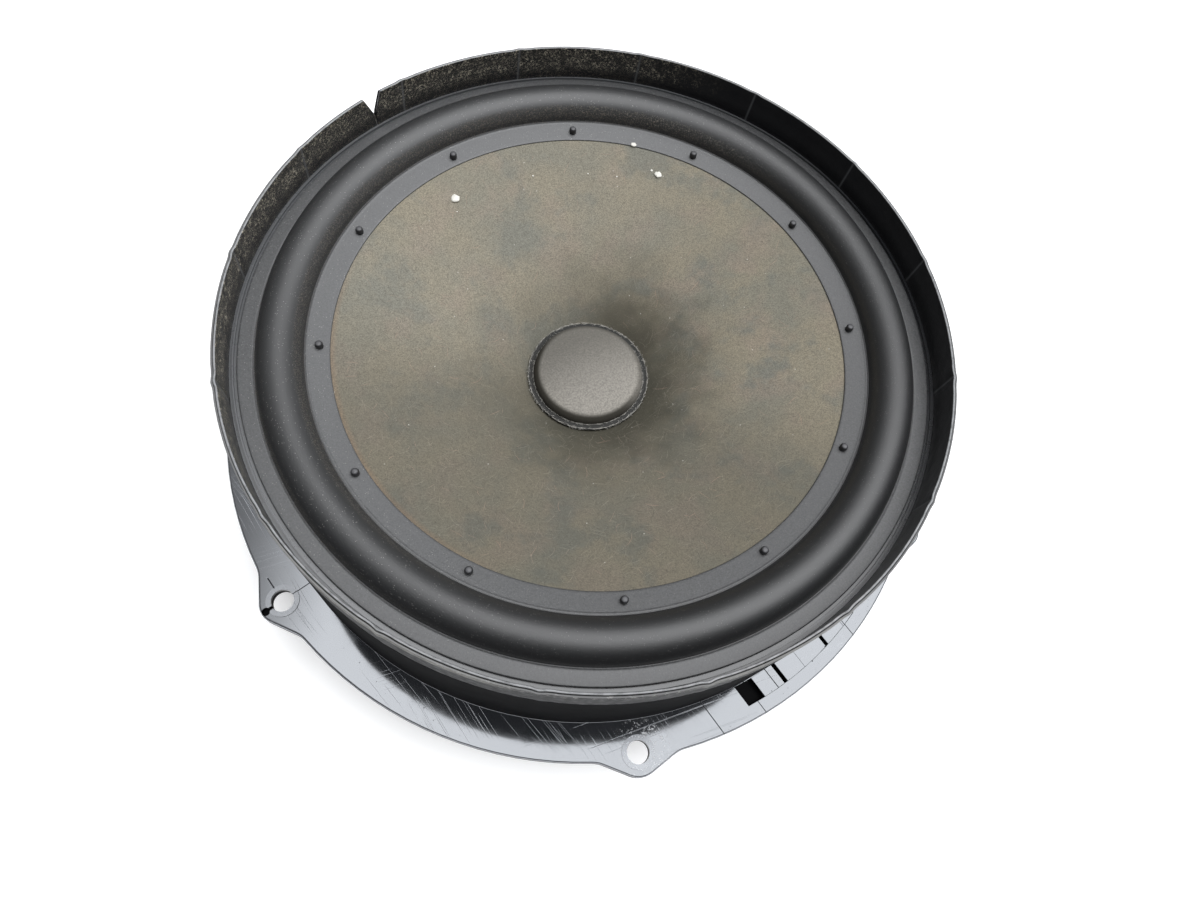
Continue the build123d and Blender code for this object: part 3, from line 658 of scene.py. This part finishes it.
def cone_paper():
    """Long-fibre pulp: mottled tint with fine curling fibres in colour and relief."""
    paint = Paint("long_fibre_pulp")
    grain = paint.noise(0.38, 5, 0.8)
    light = paint.hairs(2.0, 0.008, 2.2, 1.0)
    for seed, size in ((6.0, 1.4), (12.0, 2.8)):
        light = paint.math("MAXIMUM", light, paint.hairs(size, 0.007, 2.4, seed))
    light = paint.times(light, paint.patches(0.46, 0.6, 1.2, 2, seed=4.0))
    dark = paint.times(paint.hairs(1.8, 0.010, 2.0, 21.0), paint.patches(0.48, 0.6, 1.9, 2, seed=14.0))
    tint = paint.layered(
        cone_tint(paint),
        (paint.ramp(grain, 0.40, 0.60, 0.58, 0.0), (0.07, 0.065, 0.052)),
        (paint.times(light, 0.26), (0.46, 0.42, 0.35)),
        (paint.times(dark, 0.4), (0.05, 0.05, 0.045)),
        (paint.times(paint.specks(4.5, 0.045, 3), 0.7), (0.60, 0.58, 0.53)),
    )
    relief = paint.bump(light, 0.05, paint.bump(grain, 0.07))
    return paint.finish(tint, 0.86, relief, Specular_IOR_Level=0.25)


def fibre_pulp():
    """Loose fibres on the cone: its own tint, lightened by a different amount on each fibre."""
    paint = Paint("loose_fibre")
    tone = paint.add("ShaderNodeAttribute", attribute_name="tone").outputs["Fac"]
    tint = paint.mix(paint.ramp(tone, 0.2, 1.0, 0.02, 0.30), cone_tint(paint), (0.45, 0.41, 0.33))
    tint = paint.mix(paint.times(paint.ramp(tone, 0.95, 0.98), 0.35), tint, (0.46, 0.24, 0.18))
    return paint.finish(tint, 0.8, paint.bump(paint.noise(0.2), 0.01))


def cap_felt():
    """Grey felt of the dust cap, with painted light on its lower side and painted shade, near black, on
    its steep flank.
    """
    paint = Paint("grey_felt")
    grain = paint.noise(0.5, 5, 0.75)
    tufts = paint.times(paint.hairs(1.8, 0.012, 2.2, 3.0), paint.patches(0.45, 0.6, 1.2), 0.3)
    shaded = paint.ramp(paint.facing(-125, 60, 60), 0, 1, 0.45, 0.95)
    color = paint.layered(
        (0.138, 0.130, 0.114),
        # Lighter towards the lower side of the dome: painted light.
        (paint.ramp(paint.along(-65), -13, 13), (0.300, 0.282, 0.250)),
        (paint.ramp(grain, 0.35, 0.65, 0.55, 0.0), (0.075, 0.072, 0.066)),
        (tufts, (0.42, 0.40, 0.37)),
        # Near black on the steep flank, most on the lower left: painted shade.
        (paint.times(paint.ramp(paint.radius, 14.6, 16.2), shaded), (0.022, 0.020, 0.015)),
        (paint.ramp(paint.radius, 17.0, 17.3), (0.036, 0.036, 0.034)),
    )
    return paint.finish(color, 0.9, paint.bump(grain, 0.07), Specular_IOR_Level=0.2)


def felt_fuzz():
    """Pale fuzz on the dust cap's glued edges."""
    paint = Paint("pale_fuzz")
    color = paint.mix(paint.noise(1.5, 3), (0.20, 0.19, 0.165), (0.62, 0.60, 0.56))
    return paint.finish(color, 0.85, paint.bump(paint.noise(0.2), 0.01))


def glue_speck():
    """White specks of dried adhesive."""
    paint = Paint("white_speck")
    color = paint.mix(paint.noise(0.6, 3), (0.55, 0.53, 0.47), (0.86, 0.85, 0.80))
    return paint.finish(color, 0.55, paint.bump(paint.noise(0.4, 3), 0.1))


def woven(name, light, dark, pitch):
    """Plain weave: two crossed sets of threads, over and under."""
    paint = Paint(name)
    turns = math.tau / pitch
    warp = paint.math("SINE", paint.times(paint.x, turns))
    weft = paint.math("SINE", paint.times(paint.y, turns))
    checks = paint.times(warp, weft)
    level = paint.ramp(checks, -0.8, 0.8)
    color = paint.mix(level, dark, light)
    color = paint.mix(paint.ramp(paint.noise(5, 3), 0.4, 0.7, 0.0, 0.4), color, dark)
    return paint.finish(color, 0.7, paint.bump(level, 0.15))


def turned_steel(name, tone, seed):
    """Zinc-plated turned steel: fine rings and a faint yellow passivation."""
    paint = Paint(name)
    rings = paint.math("SINE", paint.times(paint.radius, math.tau / 0.35))
    cloud = paint.noise(7, 4, seed=seed)
    dark = tuple(tone * share for share in (0.92, 0.92, 0.90))
    light = tuple(tone * share for share in (1.1, 1.08, 1.0))
    color = paint.mix(cloud, dark, light)
    stains = paint.patches(0.60, 0.72, 2.2, 4, 0.7, seed=seed + 1)
    color = paint.mix(paint.times(stains, 0.3), color, (0.16, 0.13, 0.09))
    rough = paint.ramp(cloud, 0.3, 0.7, 0.26, 0.42)
    return paint.finish(color, rough, paint.bump(rings, 0.008), Metallic=1.0)


def ferrite():
    """Ground dark ceramic with fine pits."""
    paint = Paint("ground_ferrite")
    color = paint.mix(paint.noise(1.3, 5, 0.7), (0.035, 0.035, 0.038), (0.085, 0.085, 0.09))
    pits = paint.specks(1.7, 0.2, 3)
    color = paint.mix(paint.times(pits, 0.6), color, (0.012, 0.012, 0.013))
    relief = paint.bump(paint.math("SUBTRACT", paint.noise(0.5, 4), pits), 0.06)
    return paint.finish(color, 0.55, relief)


def metal(name, light, dark, rough_base):
    """Small stamped or drawn metal parts with brushed lines and slight tarnish."""
    paint = Paint(name)
    color = paint.mix(paint.noise(1.8, 4), dark, light)
    lines = paint.noise(0.4, 2, stretch=(0.6, 8, 0.6), turn=connector_angle)
    rough = paint.ramp(lines, 0.3, 0.7, rough_base, rough_base + 0.15)
    return paint.finish(color, rough, paint.bump(lines, 0.015), Metallic=1.0)


def paper_wrap():
    """Brown kraft paper with faint fibres."""
    paint = Paint("kraft_paper")
    color = paint.mix(paint.noise(0.9, 5, 0.7), (0.27, 0.17, 0.085), (0.43, 0.30, 0.17))
    return paint.finish(color, 0.8, paint.bump(paint.noise(0.3, 4), 0.04))


def film():
    """Amber heat-proof film."""
    paint = Paint("amber_film")
    color = paint.mix(paint.noise(4, 3), (0.38, 0.14, 0.015), (0.55, 0.25, 0.04))
    rough = paint.ramp(paint.noise(2), 0.3, 0.7, 0.16, 0.3)
    return paint.finish(color, rough, paint.bump(paint.noise(6), 0.05))


def foam():
    """Closed-cell foam: small open cells on the cut face."""
    paint = Paint("closed_cell_foam")
    cells = paint.ramp(paint.cells(0.55), 0.1, 0.6)
    color = paint.mix(cells, (0.012, 0.012, 0.013), (0.045, 0.045, 0.047))
    return paint.finish(color, 0.9, paint.bump(cells, 0.12), Specular_IOR_Level=0.25)


# ---- surround and its stubs --------------------------------------------------------------
def ring_height(radius):
    """Height of the cone's edge, where the surround's inner flange is glued down."""
    return ring_under + ring_slope * (radius - ring_inner)


def surround_outline():
    """Inner flange, half roll and outer flange, with a fine groove at each foot of the roll."""
    foot = ring_height(ring_outer) + 0.5
    middle = (ring_outer + roll_outer) / 2
    under = landing + 0.02
    edge = surround_radius
    start = (ring_inner, ring_under)
    outline = arc(start, (ring_inner - 0.02, ring_under + 0.2), (ring_inner + 0.2, ring_under + 0.4), 4)
    for radius in (ring_inner + 0.5, ring_inner + 0.8, ring_outer - 1.3, ring_outer - 1.0):
        outline.append((radius, ring_height(radius) + 0.38))
    outline += [(ring_outer - 0.75, foot - 0.16), (ring_outer - 0.45, foot - 0.2)]
    outline += [(ring_outer - 0.2, foot - 0.32)]
    outline += arc((ring_outer, foot - 0.2), (middle, roll_crest), (roll_outer, flat_top - 0.2), 40)
    outline += [(roll_outer + 0.25, flat_top - 0.28), (roll_outer + 0.5, flat_top - 0.1)]
    outline += [(roll_outer + 0.8, flat_top), (roll_outer + 1.1, flat_top), (edge - 0.7, flat_top)]
    outline += arc((edge - 0.35, flat_top), (edge - 0.1, flat_top - 0.1), (edge, flat_top - 0.35), 4)
    outline += [(edge, under), (roll_outer - roll_wall, under)]
    hollow_foot = (ring_outer + roll_wall, foot - 0.5)
    below = arc((roll_outer - roll_wall, under), (middle, roll_crest - roll_wall), hollow_foot, 30)
    return outline + below[1:] + [(ring_outer - 1.0, ring_height(ring_outer - 1.0))]


def build_surround():
    piece = turned("surround_roll", surround_outline())
    dress(piece, surround_rubber(), "surround", None)
    bend_between(piece, lambda co: 1 - ease(math.hypot(co.x, co.y), ring_outer - 0.1, roll_outer))


def build_stubs():
    """Twelve round-headed moulding stubs, their bases sunk a little into the inner flange."""
    top, base = 45.95, ring_height(pin_circle) + 0.2
    side = [(0, top), (0.45, top - 0.04), (0.8, top - 0.18), (1.0, top - 0.45), (pin_radius, top - 0.8)]
    side += [(pin_radius, base), (0, base)]
    points, faces = [], []
    for index in range(pin_count):
        centre = polar(pin_angle + 360 / pin_count * index, pin_circle, 0)
        add_blob(points, faces, centre, 24, side)
    piece = make_piece("surround_stubs", points, faces)
    dress(piece, pin_rubber(), "surround", "cone_assembly")


# ---- cone ---------------------------------------------------------------------------------
def cone_height(radius):
    """Front face of the cone: shallow at its edge, and flaring steeply down to the neck."""
    edge_slope, flare_length = 0.25, 14.0
    span = cone_edge_radius - cone_inner_radius
    flare = (cone_edge_z - cone_inner_z - edge_slope * span) / (1 - math.exp(-span / flare_length))
    run = radius - cone_inner_radius
    return cone_inner_z + edge_slope * run + flare * (1 - math.exp(-run / flare_length))


def cone_outline():
    """Front face, the edge under the surround, back face and neck."""
    radii = [cone_inner_radius + (cone_edge_radius - cone_inner_radius) * k / 60 for k in range(61)]
    front = [(radius, cone_height(radius)) for radius in radii]
    edge = high("cone", X)
    front += [(edge, ring_height(edge) - 0.02), (edge, ring_height(edge) - 0.02 - cone_wall)]
    back = [(radius + 0.4, cone_height(radius) - cone_wall) for radius in reversed(radii)]
    neck = [(neck_radius + 1.1, 17.8), (neck_radius + 0.9, low("cone"))]
    neck += [(neck_radius, low("cone")), (neck_radius, cone_inner_z - 1.0)]
    return front + back + neck


def build_cone():
    piece = turned("cone_shell", cone_outline())
    dress(piece, cone_paper(), "cone", "cone_assembly")


def fibre_mesh(name, fibres):
    """Thin closed three-sided threads; each fibre is (list of points in mm, half width, tone)."""
    points, faces, tones = [], [], []
    for line, half_width, tone in fibres:
        start = len(points)
        for index, point in enumerate(line):
            before, after = line[max(index - 1, 0)], line[min(index + 1, len(line) - 1)]
            side = (after - before).cross(Vector((0, 0, 1))).normalized()
            thin = half_width * (0.35 if index in (0, len(line) - 1) else 1.0)
            points += [(point + side * thin) * MM, (point - side * thin) * MM]
            points.append((point + Vector((0, 0, thin * 0.9))) * MM)
            tones += [tone] * 3
        for index in range(len(line) - 1):
            a, b = start + 3 * index, start + 3 * index + 3
            faces += [(a, a + 1, b + 1, b), (a + 1, a + 2, b + 2, b + 1), (a + 2, a, b, b + 2)]
        last = start + 3 * (len(line) - 1)
        faces += [(start, start + 2, start + 1), (last, last + 1, last + 2)]
    mesh = bpy.data.meshes.new(name)
    mesh.from_pydata([tuple(point) for point in points], [], faces)
    layer = mesh.attributes.new("tone", "FLOAT", "POINT")
    layer.data.foreach_set("value", np.array(tones, np.float32))
    return put_in_scene(name, mesh)


def curled_line(start, heading, curl, length, steps, height):
    """A curved line over a surface whose height depends on the distance from the axis."""
    x, y = start
    line = []
    for _ in range(steps + 1):
        line.append(Vector((x, y, height(math.hypot(x, y)))))
        x += math.cos(heading) * length / steps
        y += math.sin(heading) * length / steps
        heading += curl * length / steps
    return line


def build_cone_fibres():
    """Short fibres lying in random directions on the cone's face."""
    fibres = []
    inner, outer = cone_inner_radius + 1.5, cone_edge_radius - 1.0
    while len(fibres) < 6000:
        radius = math.sqrt(random.uniform(inner**2, outer**2))
        angle = random.uniform(0, math.tau)
        start = (radius * math.cos(angle), radius * math.sin(angle))
        length = random.uniform(1.2, 4.6)
        curl = random.gauss(0, 0.22)
        heading = random.uniform(0, math.tau)
        line = curled_line(start, heading, curl, length, 5, lambda r: cone_height(r) + 0.01)
        if all(inner < math.hypot(point.x, point.y) < outer for point in line):
            fibres.append((line, random.uniform(0.02, 0.045), random.random()))
    piece = fibre_mesh("cone_fibres", fibres)
    dress(piece, fibre_pulp(), None, "cone_assembly")


def build_glue_specks():
    """Dried white specks near the cone's upper edge: (angle, distance from the axis, size)."""
    specks = [(131.5, 65.6, 1.5), (72.1, 67.2, 1.25), (74.2, 67.9, 0.4), (80.4, 74.6, 0.9)]
    specks += [(108.0, 63.8, 0.28), (91.9, 63.3, 0.25), (83.4, 63.3, 0.25), (133.5, 62.0, 0.2)]
    side = ((0.0, 0.0), (1.0, 0.0), (0.92, 0.22), (0.6, 0.42), (0.0, 0.5))
    points, faces = [], []
    for angle, radius, size in specks:
        height = cone_height(radius) if radius < cone_edge_radius else ring_height(radius) + 0.38

        def ragged(step):
            return size * (1 + 0.28 * noise.noise(Vector((step * 0.9, angle, size))))

        add_blob(points, faces, polar(angle, radius, height), 14, side, ragged)
    piece = make_piece("adhesive_specks", points, faces)
    dress(piece, glue_speck(), None, "cone_assembly")


# ---- dust cap -------------------------------------------------------------------------------
def cap_outline():
    """Flat rim with a raised bead at each edge, steep side, rounded shoulder and low crown."""
    radius, floor, top = high("dust_cap", X), low("dust_cap"), high("dust_cap")
    rim = floor + 0.8
    shoulder = (15.5, top - 2.0)
    outline = [(radius, floor), (radius, rim - 0.1), (radius - 0.12, rim + 0.14)]
    outline += [(radius - 0.4, rim + 0.1), (radius - 0.6, rim - 0.12)]
    outline += [(17.55, rim - 0.12), (17.4, rim + 0.05), (17.2, rim + 0.12)]
    side = arc((17.05, rim), (16.7, rim + 1.7), shoulder, 10)
    crown = arc(shoulder, (8.0, top - 0.53), (-8.0, top - 0.53), 24)
    crown = [point for point in crown if point[0] > 0.3]
    outline += side + crown[1:] + [(0, top), (0, top - 0.8)]
    inner = [(x - 0.4, z - 0.8) for x, z in reversed(crown) if x > 0.9]
    return outline + inner + [(16.4, floor)]


def build_dust_cap():
    piece = turned("dust_cap_felt", cap_outline(), 240)
    dress(piece, cap_felt(), "dust_cap", "cone_assembly")


def build_cap_fuzz():
    """Loose felt fibres along both edges of the cap's rim."""
    rim = low("dust_cap") + 0.9
    fibres = []
    for radius, count, spread in ((18.7, 800, 0.07), (17.2, 560, 0.05)):
        for _ in range(count):
            angle = random.uniform(0, math.tau)
            distance = random.gauss(radius, spread)
            start = (distance * math.cos(angle), distance * math.sin(angle))
            heading = angle + math.pi / 2 + random.gauss(0, 0.35)
            lift = random.uniform(0.0, 0.16)
            length = random.uniform(0.4, 1.2)
            line = curled_line(start, heading, random.gauss(0, 0.9), length, 4, lambda r: rim + lift)
            fibres.append((line, random.uniform(0.015, 0.035), random.random()))
    dress(fibre_mesh("dust_cap_fuzz", fibres), felt_fuzz(), None, "cone_assembly")


# ---- strips round the rim -----------------------------------------------------------------
def notch_edges(height):
    """Angles where the strip starts and ends: its ends lean apart above the gap's floor."""
    rise = max(0.0, (height - notch_floor) / (lip_top - notch_floor))
    half = seam_width / 2 + (notch_half_width - seam_width / 2) * rise
    turn = math.degrees(half / lip_inner)
    return notch_angle + turn, notch_angle + 360 - turn


def crease(angle, height):
    """Share of a fold's depth at a place: narrow peaks that lean over as they rise."""
    lean = crease_lean * (height - strip_foot)
    half_pitch = crease_pitch / 2
    offset = (angle - lean - crease_angle + half_pitch) % crease_pitch - half_pitch
    peak = max(0.0, 1 - abs(offset) / crease_half_angle)
    beside = max(0.0, 1 - abs(abs(offset) - 1.8) / 1.2)
    return peak - 0.25 * beside


def strip_place(depth, sway):
    """Places a point of a strip: folds and slow waves that grow towards its free edge."""

    def place(share, radius, height):
        start, end = notch_edges(height)
        angle = start + share * (end - start)
        rise = (height - strip_foot) / (lip_top - strip_foot)
        turn = math.radians(angle)
        wave = noise.noise(Vector((math.cos(turn) * 3.1, math.sin(turn) * 3.1, height * 0.03)))
        number = noise.noise(Vector((round((angle - crease_angle) / crease_pitch) * 1.7, 0.3, 0.1)))
        fold = depth * (0.8 + 0.5 * number) * crease(angle, height) * (0.25 + 0.75 * rise)
        push = fold + sway * wave * rise
        ripple = noise.noise(Vector((math.cos(turn) * 6, math.sin(turn) * 6, 9)))
        drop = 0.16 * ripple * max(rise - 0.6, 0)
        return polar(angle, radius + push, height + min(drop, 0.0))

    return place


def strip_outline(inner, outer, foot, top):
    """Thin upright wall with rounded top edge, in rows that let it bend."""
    rows = [foot + (top - 0.3 - foot) * k / 10 for k in range(11)]
    edge = arc((inner, top - 0.25), ((inner + outer) / 2, top), (outer, top - 0.25), 6)
    return [(inner, row) for row in rows] + edge + [(outer, row) for row in reversed(rows)]


def build_strips():
    lip = strip_outline(lip_inner, lip_outer, strip_foot, lip_top)
    piece = swept("seal_lip_strip", lip, strip_place(0.36, 0.22), 1440, False)
    dress(piece, strip_film(), "seal_lip", "chassis")
    band = strip_outline(lip_outer + 0.12, band_outer - 0.05, strip_foot, band_top)
    piece = swept("rim_band_strip", band, strip_place(0.32, 0.16), 1440, False)
    dress(piece, band_wrap(), "rim_band", "chassis")


# ---- parts behind the flange ----------------------------------------------------------------
def spider_outline():
    """Corrugated cloth between two flat rings."""
    foot, wall, waves = low("spider") + 1.2, 0.5, 7
    first, last = 20.0, 48.0
    radii = [first + (last - first) * k / 140 for k in range(141)]
    heights = [foot + 1.15 * math.sin(math.tau * waves * (r - first) / (last - first)) for r in radii]
    inner, outer = neck_radius, high("spider", X)
    under = [(inner, foot)] + list(zip(radii, heights)) + [(outer, foot)]
    return under + [(radius, height + wall) for radius, height in reversed(under)]


def build_spider():
    piece = turned("spider_cloth", spider_outline(), 240)
    cloth = woven("resin_cloth", (0.46, 0.30, 0.11), (0.24, 0.145, 0.05), 0.55)
    dress(piece, cloth, "spider", None)
    bend_between(piece, lambda co: 1 - ease(math.hypot(co.x, co.y), 19.0, 49.0))


def smooth_path(points, steps):
    """Smooth curve through the points."""
    path = []
    count = len(points)
    for index in range(count - 1):
        p0, p1 = points[max(index - 1, 0)], points[index]
        p2, p3 = points[index + 1], points[min(index + 2, count - 1)]
        for step in range(steps):
            t = step / steps
            a, b = 2 * p1, p2 - p0
            c, d = 2 * p0 - 5 * p1 + 4 * p2 - p3, 3 * p1 - p0 - 3 * p2 + p3
            path.append((a + b * t + c * t * t + d * t**3) * 0.5)
    return path + [points[-1]]


def build_lead(name, side):
    """Braided lead that bows from the coil's pad over the spider to the contact strip."""
    node = f"tinsel_lead_{name}"
    out, across = polar(connector_angle, 1000, 0), polar(connector_angle + 90, 1000, 0)
    rest = low(node) + 0.82
    bow = [(16.2, 12.1), (26.0, 16.0), (42.0, 16.2), (55.5, 11.6), (61.5, 7.9), (65.5, rest)]
    knots = [out * u + across * (side * 7.0) + Vector((0, 0, z)) for u, z in bow]
    path = smooth_path(knots, 44)
    points, around = [], 20
    for index, centre in enumerate(path):
        ahead = path[min(index + 1, len(path) - 1)] - path[max(index - 1, 0)]
        left = ahead.cross(Vector((0, 0, 1))).normalized()
        up = left.cross(ahead).normalized()
        for step in range(around):
            turn = math.tau * step / around
            braid = max(math.sin(4 * turn + index * 0.55), math.sin(4 * turn - index * 0.55))
            radius = 0.66 + 0.11 * braid
            points.append((centre + (left * math.cos(turn) + up * math.sin(turn)) * radius) * MM)
    piece = make_piece(f"braided_lead_{name}", points, tube_faces(len(path), around, False))
    braid_metal = metal(f"braid_{name}", (0.74, 0.50, 0.33), (0.42, 0.22, 0.12), 0.3)
    dress(piece, braid_metal, node, None)
    bend_between(piece, lambda co: 1 - ease(co.dot(out), 20.0, 58.0))


def build_winding():
    """Round wire turns wound side by side on the former."""
    inner, outer = high("coil_former", X) + 0.02, high("coil_winding", X)
    floor, top, turns = low("coil_winding"), high("coil_winding"), 30
    pitch = (top - floor) / turns
    outline = [(inner, floor)]
    for turn in range(turns):
        foot = floor + turn * pitch
        inset, head = outer - pitch * 0.45, foot + pitch
        outline += arc((inset, foot + 0.01), (outer, foot + pitch / 2), (inset, head - 0.01), 4)
    outline.append((inner, top))
    piece = turned("coil_winding_wire", outline, 160)
    copper = metal("enamelled_copper", (0.72, 0.29, 0.10), (0.46, 0.15, 0.045), 0.22)
    dress(piece, copper, "coil_winding", "cone_assembly")


def build_gasket():
    """Soft foam ring with pillowed edges, open at the connector."""
    outer, inner = high("flange_gasket", X), high("flange_gasket", X) - 7.6
    floor, top = low("flange_gasket"), high("flange_gasket")
    corners = [(inner, floor), (outer, floor), (outer, top), (inner, top)]
    outline = softened(corners, 0.6, 5)

    middle, gap_after, gap_before = 104.0, 28.0, 19.2

    def place(share, radius, height):
        start = connector_angle + math.degrees(math.asin(gap_after / middle))
        end = connector_angle + 360 - math.degrees(math.asin(gap_before / middle))
        angle = start + share * (end - start)
        lump = 0.12 * noise.noise(Vector((angle * 0.35, radius * 0.4, height)))
        return polar(angle, radius + lump, height + max(lump, 0) * (0.5 if height < -1 else 0))

    piece = swept("gasket_foam", outline, place, 540, False)
    dress(piece, foam(), "flange_gasket", "chassis")


def paint_cad_nodes():
    """Materials of the CAD nodes that stay in view."""
    tinned = metal("tinned_brass", (0.80, 0.74, 0.60), (0.60, 0.53, 0.40), 0.24)
    soldered = metal("solder_pads", (0.80, 0.78, 0.72), (0.55, 0.50, 0.42), 0.3)
    finishes = (
        (basket_plastic(), "basket", "connector_housing", "bay_cover"),
        (tinned, "terminal_positive", "terminal_negative"),
        (soldered, "coil_pad_positive", "coil_pad_negative"),
        (film(), "coil_former"),
        (paper_wrap(), "former_wrap"),
        (turned_steel("plated_top_plate", 0.45, 1), "top_plate"),
        (turned_steel("plated_yoke", 0.50, 4), "yoke"),
        (turned_steel("plated_screws", 0.55, 7), "motor_screws"),
        (ferrite(), "magnet"),
    )
    for material, *nodes in finishes:
        for node in nodes:
            piece = frame["nodes"][node]
            if not piece.material_slots:
                piece.data.materials.append(material)
            for slot in piece.material_slots:
                slot.material = material


# ---- stage: floor, light and camera ---------------------------------------------------------
def build_floor():
    """A plain pale floor that the back plate rests on."""
    half = 4.0
    height = cad_low.z
    corners = [(-half, -half, height), (half, -half, height), (half, half, height), (-half, half, height)]
    mesh = bpy.data.meshes.new("floor")
    mesh.from_pydata(corners, [], [(0, 1, 2, 3)])
    floor = put_in_scene("floor", mesh)
    paint = Paint("pale_floor")
    color = paint.mix(paint.noise(40, 3), (0.90, 0.90, 0.90), (0.93, 0.93, 0.925))
    floor.data.materials.append(paint.finish(color, 0.9))
    paint.connect((1.0, 1.0, 1.0), paint.shader.inputs["Emission Color"])
    paint.connect(0.22, paint.shader.inputs["Emission Strength"])


def build_sky():
    """A bright soft-edged ceiling panel that leans right and back, in an otherwise dim room."""
    world = bpy.data.worlds.new("studio")
    bpy.context.scene.world = world
    world.use_nodes = True
    sky = Nodes(world.node_tree)
    dim, halo, bright = 0.12, 0.7, 4.2
    direction = sky.add("ShaderNodeTexCoord").outputs["Generated"]
    x, y, z = sky.add("ShaderNodeSeparateXYZ", {0: direction}).outputs
    above = sky.math("MAXIMUM", z, 0.02)
    across, along = sky.math("DIVIDE", x, above), sky.math("DIVIDE", y, above)
    panel = sky.times(sky.ramp(across, -0.35, -0.19), sky.ramp(across, 0.9, 1.5, 1.0, 0.0))
    panel = sky.times(panel, sky.ramp(along, 0.49, 0.75, bright - halo, 0.0))
    around = sky.ramp(z, 0.43, 0.87, 0.0, halo)
    overhead = sky.times(sky.math("ADD", panel, around), sky.ramp(along, -0.9, -0.3))
    right = sky.ramp(x, 0.1, 0.9, dim, dim + 0.4)
    background = sky.tree.nodes["Background"]
    sky.connect((0.975, 0.985, 1.005), background.inputs["Color"])
    sky.connect(sky.math("ADD", overhead, right), background.inputs["Strength"])


def build_camera():
    """Looks down from the front at the cone's edge plane, a little rolled, as a hand-held wide shot."""
    azimuth, elevation, distance, roll = -98.98, 58.65, 242.5, 14.5
    centre = Vector((0, 0, cone_edge_z))
    reach = distance * math.cos(math.radians(elevation))
    place = centre * MM + polar(azimuth, reach, distance * math.sin(math.radians(elevation)))
    target = (centre + Vector((1.5, -34.9, 0))) * MM
    data = bpy.data.cameras.new("camera")
    data.sensor_width, data.sensor_fit, data.lens = 36.0, "HORIZONTAL", 24.9
    data.clip_start, data.clip_end = 0.01, 20.0
    camera = put_in_scene("camera", data)
    camera.location = place
    camera.rotation_mode = "QUATERNION"
    facing = (target - place).to_track_quat("-Z", "Y")
    camera.rotation_quaternion = facing @ Quaternion((0, 0, 1), math.radians(roll))
    bpy.context.scene.camera = camera


build_surround()
build_stubs()
build_cone()
build_cone_fibres()
build_glue_specks()
build_dust_cap()
build_cap_fuzz()
build_strips()
build_spider()
build_lead("positive", 1)
build_lead("negative", -1)
build_winding()
build_gasket()
paint_cad_nodes()
build_floor()
build_sky()
build_camera()
bpy.context.scene.view_settings.view_transform = "Standard"
